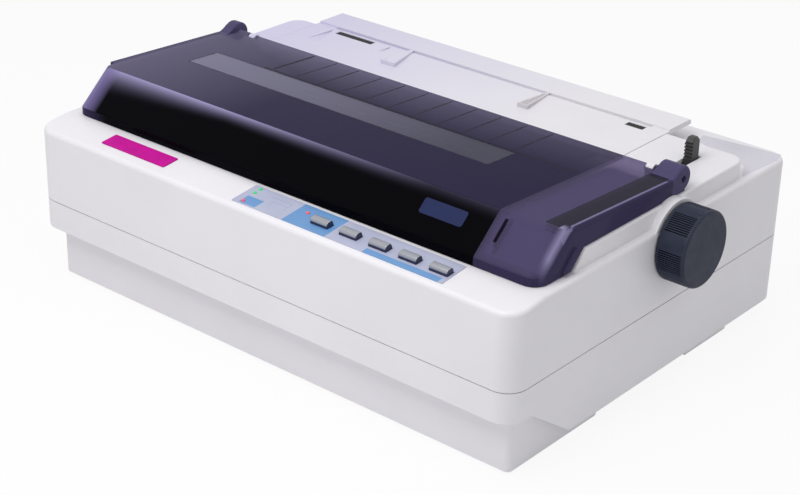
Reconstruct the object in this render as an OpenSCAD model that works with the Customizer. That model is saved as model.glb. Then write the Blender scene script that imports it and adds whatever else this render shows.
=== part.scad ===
// A desktop dot matrix printer with a smoked hinged lid.
// Lengths are millimetres. Inside the modules, places are counted from the left side,
// the front and the floor; in_frame() then puts the origin under the middle of the whole.

/* [Case] */
// Width of the case from side to side
case_w = 430; // [415:5:480]
// Depth of the case from front to back
case_d = 320; // [315:5:360]
// Radius of the upright corners
case_r = 15; // [10:1:20]
// Thickness of the moulded walls
wall = 3; // [2.4:0.2:3.4]
// Height of the line where the two shells meet
joint_z = 64; // [60:1:70]
// Height of the front edge of the top
front_z = 118; // [116:0.5:121]
// Depth of the sloping strip in front of the lid
strip_d = 31; // [30:0.5:32]
// Height of the ledge around the raised deck
ledge_z = 121.5; // [121:0.5:124]
// How far the deck stands above the ledge
deck_rise = 12.5; // [12:0.5:16]
// Width of the ledge at each side of the deck
ledge_w = 6; // [5:0.5:7]
// Where the raised deck starts, from the front
deck_y0 = 76; // [75:1:80]
// Where the raised deck ends, from the front
deck_y1 = 268; // [266:1:274]
// Radius of the deck's rear corners
deck_r = 12; // [6:1:16]

/* [Base] */
// Height of the front overhang's underside
flange_z = 42; // [38:1:46]
// Height of the side skirt's lower edge
skirt_z = 13; // [11:1:15]
// Where the skirt's slanted edge starts, from the front
slant_y0 = 23; // [18:1:30]
// Where the skirt's slanted edge ends, from the front
slant_y1 = 64.5; // [58:0.5:70]
// How far the plinth stands in from the case's sides
plinth_in = 8.5; // [6:0.5:12]
// How far the plinth stands in from the case's front
plinth_front = 13; // [10:1:18]
// Where the plinth ends, from the front
plinth_back = 110; // [108:1:116]
// Where the rear foot blocks start, from the front
block_y0 = 215; // [200:5:230]
// Depth of the rear foot blocks
block_d = 52; // [30:2:60]
// Width of each rear foot block
block_w = 60; // [40:5:90]
// Radius of the rubber feet
foot_r = 8; // [5:0.5:10]
// Height of the rubber feet
foot_h = 3; // [2.4:0.2:3.4]
// Gap under the plinth, between the rubber feet
foot_gap = 1.2; // [1:0.2:2]

/* [Lid] */
// How far the lid stands in from the case's sides
lid_in = 8; // [7:0.5:9]
// Wall thickness of the lid
lid_t = 2.5; // [2:0.1:3]
// Radius of the lid's front corners
lid_r = 10; // [4:1:14]
// Where the lid's front foot is, from the front
lid_front = 31.5; // [31.5:0.5:36]
// Height of the upright lip at the lid's front foot
lip_h = 6; // [4:0.5:8]
// Where the lid's top crease is, from the front
crease_y = 57.3; // [54:0.5:62]
// Height of the top crease above the deck
crease_rise = 17.5; // [16:0.5:20]
// Height of the lid's rear edge above the deck
rear_rise = 11.2; // [10.6:0.2:12]
// How far the hinge line is from the front
hinge_y = 190; // [188:0.5:191]
// Height of the hinge line above the deck
hinge_rise = 9.3; // [9.3:0.1:10]
// Radius of the hinge knuckles
knuckle_r = 9; // [7.5:0.25:9]
// Width of the hinge knuckles
knuckle_w = 22; // [18:1:26]
// Radius of the hinge pins
pin_r = 2.5; // [2:0.1:3]
// Left end of the clear window
window_x0 = 43; // [40:1:60]
// Distance from the window to the right side of the case
window_side = 108; // [100:1:130]
// Front edge of the clear window, from the front
window_y0 = 110.5; // [100:0.5:114]
// Rear edge of the clear window, from the front
window_y1 = 141; // [130:0.5:141]

/* [Paper guide] */
// Left edge of the paper guide
guide_x0 = 27; // [25:0.5:30]
// Distance from the guide to the right side of the case
guide_side = 71; // [68:0.5:80]
// Front edge of the paper guide, from the front
guide_y0 = 207; // [206.5:0.5:209]
// Rear edge of the paper guide's top, from the front
guide_y1 = 300; // [290:1:305]
// Thickness of the paper guide's plate
guide_t = 2.5; // [2:0.1:3]
// Height of the band behind that rail
band_h = 1.2; // [0.6:0.1:2]
// Distance from the front to the rail that the edge guides slide on
rail_y = 270; // [268:0.5:274]
// Width of that rail slot
rail_w = 2; // [1.8:0.1:3]
// Width of each edge guide at its front end
edge_w = 14; // [12:1:20]
// Height of each edge guide at its front end
edge_h = 3; // [2:0.5:5]

/* [Mechanism] */
// Left edge of the print bay
bay_x0 = 22; // [22:0.5:24]
// Distance from the bay to the right side of the case
bay_side = 84; // [80:0.5:86]
// Front edge of the print bay, from the front
bay_y0 = 36; // [36:0.5:42]
// Distance from the front to the platen's axis
platen_y = 174; // [172:0.5:175]
// Depth of the platen's axis under the deck
platen_drop = 26.4; // [26:0.1:27]
// Radius of the platen
platen_r = 17; // [15:0.5:17.5]
// Radius of the platen's shaft
shaft_r = 4; // [3:0.25:5]
// Radius of the knob
knob_r = 26.6; // [20:0.2:28]
// Length of the knob
knob_l = 21.2; // [14:0.1:24]
// Gap between the knob and the case
knob_gap = 1; // [0.6:0.1:2]
// Thickness of the steel side frames
frame_t = 1.5; // [1:0.1:2]
// Height of the chassis plate
chassis_z = 44; // [43:0.5:46]
// Distance from the front to the carriage's guide shaft
guide_shaft_y = 122; // [120:0.5:124]
// Radius of the carriage's guide shaft
guide_shaft_r = 5; // [4:0.25:6]
// Width of the carriage
carriage_w = 50; // [40:1:56]
// Width at each side of the bay that the print line leaves free
print_in = 60; // [59:1:72]
// Gear module
tooth_m = 1; // [0.95:0.01:1]
// Teeth on the platen's gear
platen_teeth = 44; // [42:2:44]
// Teeth on the tractor's gear
tractor_teeth = 20; // [18:2:20]
// Teeth on the motor's pinion
pinion_teeth = 12; // [12:1:13]
// Radius of the stepper motors
motor_r = 20; // [18:0.5:20]
// Pitch radius of the belt pulleys
pulley_r = 6; // [5:0.25:7]

/* [Panel] */
// Width of the panel label
label_w = 178.5; // [172:0.5:180]
// Distance from the label to the right side of the case
label_side = 59.5; // [54:0.5:62]
// Width of each button
button_w = 14.5; // [12:0.5:18]
// Depth of each button
button_d = 6.5; // [6:0.5:13]
// Height of the buttons above the strip
button_h = 4.5; // [3:0.5:6]
// Spacing of the buttons
button_pitch = 24.6; // [22:0.2:25]
// Distance from the label's left edge to the first button
button_in = 63.5; // [58:0.5:64]
// Travel of the buttons
button_travel = 1; // [0.6:0.1:1.5]

/* [Hidden] */
$fn = 64;

// Clearances, and how far a cutting tool runs past a face
gap = 0.3;
run = 0.05;
past = 1;
bay_x1 = case_w - bay_side;
window_x1 = case_w - window_side;
guide_x1 = case_w - guide_side;
label_x1 = case_w - label_side;
label_x0 = label_x1 - label_w;
button_x0 = label_x0 + button_in;
print_w = bay_x1 - bay_x0 - 2 * print_in;

// Heights that follow the deck
deck_z = ledge_z + deck_rise;
hinge = [hinge_y, deck_z + hinge_rise];
platen = [platen_y, deck_z - platen_drop];
knob_reach = knob_gap + knob_l;

// The strip in front of the lid
strip_a = atan((ledge_z - front_z) / strip_d);

// The lid's outline
lid_x0 = lid_in;
lid_x1 = case_w - lid_in;
lid_foot_z = ledge_z + 0.5;
lid_skirt_z = deck_z + gap;
lid_rear = hinge_y + 2;
crease_z = deck_z + crease_rise;
rear_z = deck_z + rear_rise;
lip_z = lid_foot_z + lip_h;
slope_a = atan((crease_z - lip_z) / (crease_y - lid_front));
top_a = -atan((crease_z - rear_z) / (lid_rear - crease_y));
tab_y = deck_y0 - 18;
tab_d = 13;

// Hinge ears beside the knuckles
ear_w = 5.6;
ear_gap = 0.4;
ear_x0 = lid_x1 - knuckle_w - ear_gap - ear_w;
ear_y0 = hinge_y - 9;
ear_y1 = hinge_y + 8;

// Lower shell
slant_a = atan((flange_z - skirt_z) / (slant_y1 - slant_y0));
slant_step = tan(slant_a / 2);
plinth_r = case_r - 4;
boss_r = 5;
boss_in = 22;
boss_front = 30;
boss_back = case_d - 30;
bosses = [[boss_in, boss_front], [case_w - boss_in, boss_front],
          [boss_in, boss_back], [case_w - boss_in, boss_back]];
boss_drop = 12;
screw_r = 1.75;
head_r = 3.2;
head_h = 2.4;
screw_l = 18;

// Frames, counted outwards from the print bay
frame_x0 = bay_x0 - 6;
frame_x1 = bay_x1 + 8;
gear_x0 = frame_x1 + frame_t + 2.5;
gear_w = 6;
gear_plate_x = gear_x0 + gear_w + 4;
chassis_t = 1.5;
deck_top = chassis_z + chassis_t;
chassis_x0 = frame_x0 - 8;
chassis_x1 = case_w - 26;
chassis_y0 = 60;
chassis_y1 = deck_y1 - 6;
post_in = 26;
posts = [[post_in, 75], [case_w - 34, 75], [post_in, chassis_y1 - 10],
         [case_w - 34, chassis_y1 - 10]];

// Gear train: pitch radii and centres, as [y, z]
platen_gear_r = tooth_m * platen_teeth / 2;
tractor_gear_r = tooth_m * tractor_teeth / 2;
pinion_r = tooth_m * pinion_teeth / 2;
idler_teeth = 31;
idler_r = tooth_m * idler_teeth / 2;
idler = platen + [platen_gear_r + idler_r, 0];
tractor = idler + [idler_r + tractor_gear_r, 0];
pinion_turn = 27 * 360 / platen_teeth;
pinion = platen + (platen_gear_r + pinion_r) * [cos(pinion_turn), sin(pinion_turn)];
stud_r = 3;
motor_shaft_r = 2.5;
motor_l = 25;

// Carriage drive
guide_shaft = [guide_shaft_y, platen[1] - 32];
belt_y = guide_shaft_y - 38;
belt_z = deck_top + 9;
belt_h = 6;
belt_t = 1.2;
belt_r = pulley_r + gap;
drive_x = bay_x0 + 30;
return_x = bay_x1 - 16;
print_x0 = (bay_x0 + bay_x1) / 2 + 14 - print_w / 2;
head_z = platen[1] - 19.6;
head_w = 38;
nose_w = 14;
nose_h = 14;
rail_wall_y = belt_y - 20;
rail_top = head_z - 6;

// Ribbon and its cartridge
ribbon_y = platen[0] - platen_r - 1.1;
ribbon_t = 0.3;
ribbon_h = 13;
tab_z = platen[1] + 11;
cartridge_x0 = bay_x0 + 10;
cartridge_x1 = bay_x1 - 4;
cartridge_arm = 14;

// Paper bail
bail_roller_r = 6;
bail_r = 2.5;
bail_turn = 128;
bail = platen + (platen_r + bail_roller_r + 0.4) * [cos(bail_turn), sin(bail_turn)];
bail_pivot = platen + [-34, -15.6];
bail_t = 2;

// Tractors
tractor_w = 14;
tractor_x0 = guide_x0 + 28;
tractor_x1 = guide_x1 - 60;
square_w = 6;
rod_r = 3;
tractor_rod_at = tractor + [12, -11.6];

// Paper guide
guide_z = deck_z - guide_t;
guide_slots = [[guide_x0 + 26, 37], [guide_x1 - 31, 15]];
guide_foot_z = ledge_z + gap;
trunnion_r = 0.9;
edge_len = 34;
left_edge_x = guide_x0 + 95;
right_edge_x = guide_x1 - 107;

// Release lever and the slot it moves in
lever_w = 6.2;
lever_x = ear_x0 - 1.6;
lever_pivot = [deck_y1 - 32, platen[1] - 21.6];
lever_shaft_r = 3;
lever_top = 16;
slot_y0 = deck_y1 - 40;
slot_y1 = deck_y1 - 19;

// Housing beside the bay, which follows the lid from below
housing_gap = 3;
housing_t = 2.5;
housing_x = [bay_x1 + 25, case_w - 27];
housing_y1 = ear_y0 - 2;
well_x = [case_w - 27, case_w - 12.5];
well_y = [crease_y + 4, housing_y1];

// Head gap lever
gap_x = housing_x[0] + 9;
gap_w = 2;
gap_pivot = [deck_y0 + 34, platen[1] - 12];
gap_tip = inner_crease(lid_t + housing_gap) + 6 * [-cos(slope_a), -sin(slope_a)];

// Buttons, lamps and plates on the strip
button_y = 12.6;
button_n = 5;
board_drop = 14;
plate_t = 0.5;
lamp_r = 1.3;
lamps_at = [[7, 25.6], [7, 20.2], [7.7, 8.4], [54, 20.8]];

// Rear panel
inlet_x = 128;
inlet_w = 28;
inlet_h = 21;
switch_x = 172;
switch_w = 14;
port_x = 268;
port_w = 68;
port_h = 14;
board_z = skirt_z + wall + 4;
board_t = 1.6;
rocker_at = [case_d - 8, board_z + 4 + inlet_h / 2];
rocker_pin_r = 1.5;

module in_frame() translate([-(case_w + knob_reach) / 2, -case_d / 2, 0]) children();

// A shape drawn as [y, z] and run along X
module along_x(x) translate([x[0], 0, 0]) rotate([90, 0, 90]) linear_extrude(x[1] - x[0]) children();

// A box given by its ends along X, Y and Z
module block(x, y, z) translate([x[0], y[0], z[0]]) cube([x[1] - x[0], y[1] - y[0], z[1] - z[0]]);

// A round bar along X about the point at = [y, z]
module bar(x, at, r) along_x(x) translate(at) circle(r);

// A round post along Z at the point at = [x, y]
module post(at, z, r) translate([at[0], at[1], z[0]]) cylinder(r = r, h = z[1] - z[0]);

module round_rect(x, y, r) {
    translate([x[0] + r, y[0]]) square([x[1] - x[0] - 2 * r, y[1] - y[0]]);
    translate([x[0], y[0] + r]) square([x[1] - x[0], y[1] - y[0] - 2 * r]);
    for (cx = [x[0] + r, x[1] - r], cy = [y[0] + r, y[1] - r]) translate([cx, cy]) circle(r);
}

module case_plan(t, z) translate([0, 0, z[0]]) linear_extrude(z[1] - z[0])
    round_rect([t, case_w - t], [t, case_d - t], case_r - t);

// Same thing on both sides of the case
module both_sides() {
    children();
    translate([case_w, 0, 0]) mirror([1, 0, 0]) children();
}

// Frame of the sloping strip: Y runs up the slope, Z stands off it
module on_strip() translate([0, 0, front_z]) rotate([strip_a, 0, 0]) children();

// Frame of the lid's front slope
module on_slope() translate([0, lid_front, lip_z]) rotate([slope_a, 0, 0]) children();

// Frame of the lid's top, from its crease
module on_top() translate([0, crease_y, crease_z]) rotate([top_a, 0, 0]) children();

module button_place(i) on_strip() translate([button_x0 + i * button_pitch, button_y, 0]) children();

// ---------------------------------------------------------------- shells

module lower_side(t, over) polygon([
    [t, flange_z + t],
    [slant_y0 + t * slant_step, flange_z + t],
    [slant_y1 + t * slant_step, skirt_z + t],
    [case_d - t, skirt_z + t],
    [case_d - t, joint_z + over],
    [t, joint_z + over]
]);

module plinth(t, z) translate([0, 0, z[0]]) linear_extrude(z[1] - z[0])
    round_rect([plinth_in + t, case_w - plinth_in - t], [plinth_front + t, plinth_back - t],
               plinth_r - t);

module foot_blocks(t, z) both_sides()
    block([plinth_in + t, plinth_in + block_w - t], [block_y0 + t, block_y0 + block_d - t], z);

// Places of the rubber feet
module feet_places() both_sides() {
    translate([plinth_in + 20, plinth_front + 20, 0]) children();
    translate([plinth_in + block_w / 2, block_y0 + block_d / 2, 0]) children();
}

module rear_openings() {
    block([inlet_x - gap, inlet_x + inlet_w + gap], [case_d - wall - past, case_d + past],
          [board_z + 4 - gap, board_z + 4 + inlet_h + gap]);
    block([switch_x - gap, switch_x + switch_w + gap], [case_d - wall - past, case_d + past],
          [board_z + 4 - gap, board_z + 4 + inlet_h + gap]);
    block([port_x - gap, port_x + port_w + gap], [case_d - wall - past, case_d + past],
          [board_z + board_t - gap, board_z + board_t + port_h + gap]);
}

// Middle of the floor's thickness under a place [x, y]: low in the plinth and in the foot blocks
function in_block(p) = p[1] > block_y0 && p[1] < block_y0 + block_d
    && min(p[0], case_w - p[0]) < plinth_in + block_w;
function floor_under(p) = wall / 2 + (p[1] < plinth_back || in_block(p) ? foot_gap : skirt_z);

module lower_case() in_frame() color([0.85, 0.84, 0.87]) {
    difference() {
        union() {
            difference() {
                union() {
                    intersection() {
                        along_x([0, case_w]) lower_side(0, 0);
                        case_plan(0, [0, joint_z]);
                    }
                    plinth(0, [foot_gap, flange_z + wall]);
                    foot_blocks(0, [foot_gap, skirt_z + wall]);
                }
                intersection() {
                    along_x([wall, case_w - wall]) lower_side(wall, past);
                    case_plan(wall, [0, joint_z + past]);
                }
                plinth(wall, [foot_gap + wall, joint_z]);
                foot_blocks(wall, [foot_gap + wall, skirt_z + wall + past]);
            }
            for (p = bosses) post(p, [floor_under(p), joint_z], boss_r);
            for (p = posts) post(p, [floor_under(p), chassis_z], boss_r);
            for (x = [44, 160], y = [130, chassis_y1 - 14])
                post([x, y], [floor_under([x, y]), board_z], 3.5);
            for (x = [190, case_w - 54], y = [130, case_d - 22])
                post([x, y], [floor_under([x, y]), board_z], 3.5);
        }
        for (p = bosses) {
            post(p, [0, joint_z - boss_drop], head_r + gap);
            post(p, [0, joint_z + past], screw_r + 0.2);
        }
        for (p = posts) post(p, [chassis_z - 10, chassis_z + past], screw_r);
        feet_places() cylinder(r = foot_r, h = foot_h);
        rear_openings();
        // vent slots in the floor
        for (i = [0:9]) block([200 + 16 * i, 206 + 16 * i], [150, 190],
                              [skirt_z - past, skirt_z + wall + past]);
    }
}

module upper_side(t, low) polygon([
    [t, joint_z - low],
    [case_d - t, joint_z - low],
    [case_d - t, ledge_z - t],
    [strip_d, ledge_z - t],
    [t, front_z - t + t * tan(strip_a)]
]);

module deck_plan(t, z) translate([0, 0, z[0]]) linear_extrude(z[1] - z[0]) difference() {
    round_rect([ledge_w + t, case_w - ledge_w - t], [deck_y0 + t - 2 * deck_r, deck_y1 - t],
               deck_r);
    translate([0, deck_y0 + t - 3 * deck_r]) square([case_w, 3 * deck_r]);
}

// The ear beside each knuckle that holds the lid's pin
module hinge_ear() difference() {
    along_x([ear_x0, ear_x0 + ear_w]) polygon([
        [ear_y0, deck_z - past], [ear_y1, deck_z - past],
        [ear_y1, deck_z + rear_rise], [hinge_y + 3, deck_z + rear_rise + 2.6],
        [ear_y0, deck_z + rear_rise]
    ]);
    bar([ear_x0 - past, ear_x0 + ear_w + past], hinge, pin_r);
}

// Places of the bosses that the panel board hangs from, at its top face
module board_bosses() on_strip() for (x = [label_x0 + 3, label_x1 - 3])
    translate([x, strip_d - 3.6, -board_drop]) children();

// The lid's underside moved in by t, closed at the rear and at the bottom
module housing_side(t, low) polygon([
    [lid_front + t / sin(slope_a), low], [lid_front + t / sin(slope_a), lip_z],
    inner_crease(t),
    [housing_y1, crease_z - t / cos(top_a) + (housing_y1 - crease_y) * tan(top_a)],
    [housing_y1, low]
]);

module upper_case() in_frame() color([0.88, 0.87, 0.9]) {
    difference() {
        union() {
            difference() {
                union() {
                    intersection() {
                        along_x([0, case_w]) upper_side(0, 0);
                        case_plan(0, [joint_z, deck_z]);
                    }
                    deck_plan(0, [ledge_z - wall, deck_z]);
                    bar([case_w - ledge_w - 1, case_w - 0.4], platen, knob_r + 2.6);
                }
                intersection() {
                    along_x([wall, case_w - wall]) upper_side(wall, past);
                    case_plan(wall, [joint_z - past, deck_z]);
                }
                deck_plan(wall, [ledge_z - wall - past, deck_z - wall]);
            }
            for (p = bosses) post(p, [joint_z, ledge_z - wall], boss_r);
            both_sides() hinge_ear();
            along_x(housing_x) housing_side(lid_t + housing_gap, ledge_z - wall);
            along_x([housing_x[1] - 1, well_x[1]]) intersection() {
                housing_side(lid_t + housing_gap, ledge_z - wall);
                translate([0, ledge_z - wall]) square([well_y[0], crease_z]);
            }
            board_bosses() cylinder(r = 2, h = board_drop - wall + 0.5);
        }
        for (p = bosses) post(p, [joint_z - past, joint_z + screw_l - boss_drop + head_h + 2], screw_r);
        // print bay, and the opening under the paper guide
        block([bay_x0, bay_x1], [bay_y0, ear_y0 - 3], [ledge_z - 2 * wall, deck_z + past]);
        block([case_w - ear_x0 + 3, bay_x1], [ear_y0 - 3 - past, guide_y0 - 3],
              [ledge_z - 2 * wall, deck_z + past]);
        block([guide_x0 - gap, guide_x1 + gap], [guide_y0 - 3 - past, deck_y1 + past],
              [ledge_z, deck_z + past]);
        block([guide_x0 - gap, guide_x1 + gap], [guide_y0 - 3 - past, deck_y1 - wall],
              [ledge_z - 2 * wall, deck_z + past]);
        // trunnion holes of the paper guide
        bar([guide_x0 - 4, guide_x1 + 4], guide_axis(), trunnion_r + run);
        // inside of the housing, and the well between it and the rim
        intersection() {
            along_x([housing_x[0] + housing_t, housing_x[1] - housing_t])
                housing_side(lid_t + housing_gap + housing_t, ledge_z - 2 * wall);
            block([0, case_w], [0, housing_y1 - housing_t], [0, crease_z]);
        }
        block(well_x, well_y, [ledge_z - 2 * wall, crease_z]);
        // slots of the release lever and of the gap lever
        block([lever_x - 0.8, lever_x + lever_w + 0.8], [slot_y0, slot_y1],
              [deck_z - wall - past, deck_z + past]);
        block([gap_x - 0.6, gap_x + gap_w + 0.6], [gap_tip[0] - 14, gap_tip[0] + 6.5],
              [gap_tip[1] - 14, crease_z]);
        // shaft of the knob
        bar([case_w - 12, case_w + past], platen, shaft_r + 2);
        // buttons and lamps
        for (i = [0:button_n - 1]) button_place(i)
            translate([-gap, -gap, -3 * wall]) cube([button_w + 2 * gap, button_d + 2 * gap, 4 * wall]);
        lamp_places() translate([0, 0, -3 * wall]) cylinder(r = lamp_r, h = 4 * wall);
    }
}

module rubber_feet() in_frame() color([0.12, 0.12, 0.13]) feet_places() cylinder(r = foot_r, h = foot_h);

module case_screws() in_frame() color([0.6, 0.6, 0.62]) for (p = bosses) {
    post(p, [joint_z - boss_drop - head_h, joint_z - boss_drop], head_r);
    post(p, [joint_z - boss_drop, joint_z - boss_drop + screw_l], screw_r);
}

// ---------------------------------------------------------------- frames

module chassis_plate() in_frame() color([0.7, 0.71, 0.73]) {
    difference() {
        block([chassis_x0, chassis_x1], [chassis_y0, chassis_y1], [chassis_z, deck_top]);
        for (p = posts) post(p, [chassis_z - past, deck_top + past], screw_r + run);
        post([drive_x, belt_y], [chassis_z - past, deck_top + past], 8);
        for (x = [120, 220, 300], y = [150, 200])
            post([x, y], [chassis_z - past, deck_top + past], 12);
    }
    // front rail, folded up from the plate
    block([frame_x0 + 4, frame_x1 - 4], [rail_wall_y, rail_wall_y + chassis_t], [deck_top, rail_top]);
    // stud of the return pulley
    post([return_x, belt_y], [deck_top, belt_z + belt_h + 2], motor_shaft_r);
}

module frame_screws() in_frame() color([0.62, 0.62, 0.64]) for (p = posts) {
    post(p, [deck_top, deck_top + head_h], head_r);
    post(p, [chassis_z - 8, deck_top], screw_r);
}

// Outline of the side frames, as [y, z]
module frame_outline() polygon([
    [rail_wall_y, deck_top], [tractor[0] + 20, deck_top],
    [tractor[0] + 20, tractor[1] - 4], [tractor[0] + 12, tractor[1] + 8],
    [platen[0] + 24, tractor[1] + 8], [platen[0] + 12, platen[1] + 15],
    [platen[0] - 14, platen[1] + 15], [bail_pivot[0] - 12, bail_pivot[1] + 14],
    [belt_y + 30, tab_z], [belt_y + 4, tab_z], [rail_wall_y, rail_top]
]);

module frame_holes(x) {
    bar(x, platen, shaft_r + 3);
    bar(x, guide_shaft, guide_shaft_r);
    bar(x, bail_pivot, bail_r + run);
    bar(x, tractor, stud_r + run);
    bar(x, tractor_rod_at, rod_r);
}

module left_frame() in_frame() color([0.72, 0.73, 0.75]) {
    difference() {
        along_x([frame_x0, frame_x0 + frame_t]) frame_outline();
        frame_holes([frame_x0 - past, frame_x0 + frame_t + past]);
    }
    block([frame_x0 - 8, frame_x0], [90, 240], [deck_top, deck_top + frame_t]);
    block([frame_x0 + frame_t, cartridge_x0 + 8], [belt_y + 8, belt_y + 28], [tab_z - frame_t, tab_z]);
}

module right_frame() in_frame() color([0.72, 0.73, 0.75]) {
    difference() {
        along_x([frame_x1, frame_x1 + frame_t]) frame_outline();
        frame_holes([frame_x1 - past, frame_x1 + frame_t + past]);
        bar([frame_x1 - past, frame_x1 + frame_t + past], lever_pivot, lever_shaft_r + run);
        bar([frame_x1 - past, frame_x1 + frame_t + past], gap_pivot, stud_r + run);
    }
    block([frame_x1 + frame_t, frame_x1 + frame_t + 8], [90, 120], [deck_top, deck_top + frame_t]);
    block([cartridge_x1 - 8, frame_x1], [belt_y + 8, belt_y + 28], [tab_z - frame_t, tab_z]);
    // stud of the idler gear
    bar([frame_x1 + frame_t, gear_x0 + gear_w + 1], idler, stud_r);
}

module gear_plate() in_frame() color([0.72, 0.73, 0.75]) {
    x = [gear_plate_x, gear_plate_x + frame_t];
    over = [x[0] - past, x[1] + past];
    difference() {
        along_x(x) polygon([
            [pinion[0] - 26, deck_top], [lever_pivot[0] + 14, deck_top],
            [lever_pivot[0] + 14, lever_pivot[1] + 12], [platen[0] + 20, platen[1] + 12],
            [platen[0] - 12, platen[1] + 12], [pinion[0] - 26, pinion[1] + 8]
        ]);
        bar(over, platen, shaft_r + 3);
        bar(over, pinion, motor_shaft_r + 5);
        bar(over, lever_pivot, lever_shaft_r + run);
    }
    block([x[1], x[1] + 10], [pinion[0] - 20, lever_pivot[0] + 4], [deck_top, deck_top + frame_t]);
}

// ---------------------------------------------------------------- platen and its gears

module platen_roller() in_frame() color([0.1, 0.1, 0.11]) along_x([bay_x0 + 8, bay_x1 - 5])
    translate(platen) difference() {
        circle(platen_r, $fn = 96);
        circle(shaft_r);
    }

module platen_shaft() in_frame() color([0.75, 0.76, 0.78])
    bar([frame_x0 - 3, case_w + knob_gap + knob_l - 4], platen, shaft_r);

// A ring of slim teeth about the point at, the first one turned by turn
module gear_shape(n, bore, at, turn) translate(at) difference() {
    union() {
        circle(tooth_m * (n / 2 - 1.3), $fn = 96);
        for (i = [0:n - 1]) rotate(turn + i * 360 / n) polygon(tooth_m * [
            [n / 2 - 1.6, -0.8], [n / 2, -0.58], [n / 2 + 0.9, -0.26],
            [n / 2 + 0.9, 0.26], [n / 2, 0.58], [n / 2 - 1.6, 0.8]
        ]);
    }
    circle(bore);
}

module platen_gear() in_frame() color([0.9, 0.89, 0.85]) along_x([gear_x0, gear_x0 + gear_w])
    gear_shape(platen_teeth, shaft_r, platen, 0);

module idler_gear() in_frame() color([0.9, 0.89, 0.85]) along_x([gear_x0, gear_x0 + gear_w])
    gear_shape(idler_teeth, stud_r + run, idler, 0);

module motor_pinion() in_frame() color([0.8, 0.65, 0.35]) along_x([gear_x0, gear_x0 + gear_w])
    gear_shape(pinion_teeth, motor_shaft_r + run, pinion, pinion_turn + 180 + 180 / pinion_teeth);

module tractor_gear() in_frame() color([0.9, 0.89, 0.85]) along_x([gear_x0, gear_x0 + gear_w])
    gear_shape(tractor_teeth, stud_r, tractor, 180 / tractor_teeth);

module feed_motor() in_frame() color([0.25, 0.25, 0.27]) {
    bar([gear_plate_x + frame_t, gear_plate_x + frame_t + motor_l], pinion, motor_r);
    bar([gear_x0 - 1, gear_plate_x + frame_t], pinion, motor_shaft_r);
}

module platen_bushes() in_frame() color([0.85, 0.8, 0.6])
    for (x = [frame_x0 - 1, frame_x1 - 1, gear_plate_x - 1])
        along_x([x, x + frame_t + 2]) translate(platen) difference() {
            circle(shaft_r + 3);
            circle(shaft_r + run);
        }

module platen_knob() in_frame() color([0.2, 0.23, 0.3]) {
    edge = 3;
    rib_n = 10;
    group_n = 6;
    rib_step = 3.6;
    difference() {
        translate([case_w + knob_gap, platen[0], platen[1]]) rotate([0, 90, 0]) rotate_extrude($fn = 96)
            union() {
                square([knob_r, knob_l - edge]);
                square([knob_r - edge, knob_l]);
                translate([knob_r - edge, knob_l - edge]) circle(edge);
            }
        // hollow back around the hub
        along_x([case_w + knob_gap - past, case_w + knob_gap + knob_l - 5]) translate(platen)
            difference() {
                circle(knob_r - 4);
                circle(shaft_r + 4);
            }
        bar([case_w, case_w + knob_gap + knob_l - 4], platen, shaft_r);
        // grip grooves in six groups
        for (g = [0:group_n - 1], i = [0:rib_n - 1]) translate([0, platen[0], platen[1]])
            rotate([g * 360 / group_n + (i - (rib_n - 1) / 2) * rib_step, 0, 0])
            translate([case_w + knob_gap + 1.5, knob_r - 0.7, -0.35])
            cube([knob_l - edge - 3, 2, 0.7]);
    }
}

module paper_pan() in_frame() color([0.7, 0.71, 0.73]) along_x([frame_x0 + frame_t, frame_x1])
    translate(platen) intersection() {
        difference() {
            circle(platen_r + 3, $fn = 96);
            circle(platen_r + 2, $fn = 96);
        }
        polygon([[0, 0], 60 * [cos(216), sin(216)], 60 * [cos(250), sin(250)],
                 60 * [cos(290), sin(290)], 60 * [cos(335), sin(335)]]);
    }

// ---------------------------------------------------------------- bail

module bail_arm(x) along_x(x) {
    along = bail - bail_pivot;
    side = 4 * [-along[1], along[0]] / norm(along);
    polygon([bail_pivot + side, bail + side, bail - side, bail_pivot - side]);
    translate(bail) circle(4);
    translate(bail_pivot) circle(4);
}

module bail_frame() in_frame() color([0.75, 0.76, 0.78]) {
    x0 = bay_x0 + 1.2;
    x1 = bay_x1 - 1.2;
    bail_arm([x0, x0 + bail_t]);
    bail_arm([x1 - bail_t, x1]);
    bar([x0 + bail_t, x1 - bail_t], bail, bail_r);
    bar([frame_x0 - 1, x0], bail_pivot, bail_r);
    bar([x1, frame_x1 + frame_t + 0.8], bail_pivot, bail_r);
}

module bail_rollers() in_frame() color([0.12, 0.12, 0.13])
    for (i = [-1:1]) translate([(bay_x0 + bay_x1) / 2 + 97 * i, 0, 0])
        along_x([-7, 7]) translate(bail) difference() {
            circle(bail_roller_r);
            circle(bail_r + run);
        }

// ---------------------------------------------------------------- carriage

module guide_shaft() in_frame() color([0.8, 0.81, 0.83])
    bar([frame_x0 - 2, frame_x1 + frame_t + 2], guide_shaft, guide_shaft_r);

module carriage() in_frame() color([0.13, 0.13, 0.14]) translate([print_x0, 0, 0]) {
    half = carriage_w / 2;
    difference() {
        union() {
            block([-half, half], [guide_shaft[0] - 26, guide_shaft[0] + 14],
                  [guide_shaft[1] - guide_shaft_r - 4, head_z]);
            block([-15, 15], [rail_wall_y - 2.5, guide_shaft[0] - 25], [rail_top - 5, head_z]);
            block([-8, 8], [belt_y + belt_r + belt_t + gap, guide_shaft[0] - 22],
                  [belt_z, guide_shaft[1]]);
        }
        bar([-half - past, half + past], guide_shaft, guide_shaft_r + run);
        block([-16, 16], [rail_wall_y - gap, rail_wall_y + chassis_t + gap],
              [rail_top - 6, rail_top + gap]);
    }
}

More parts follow.
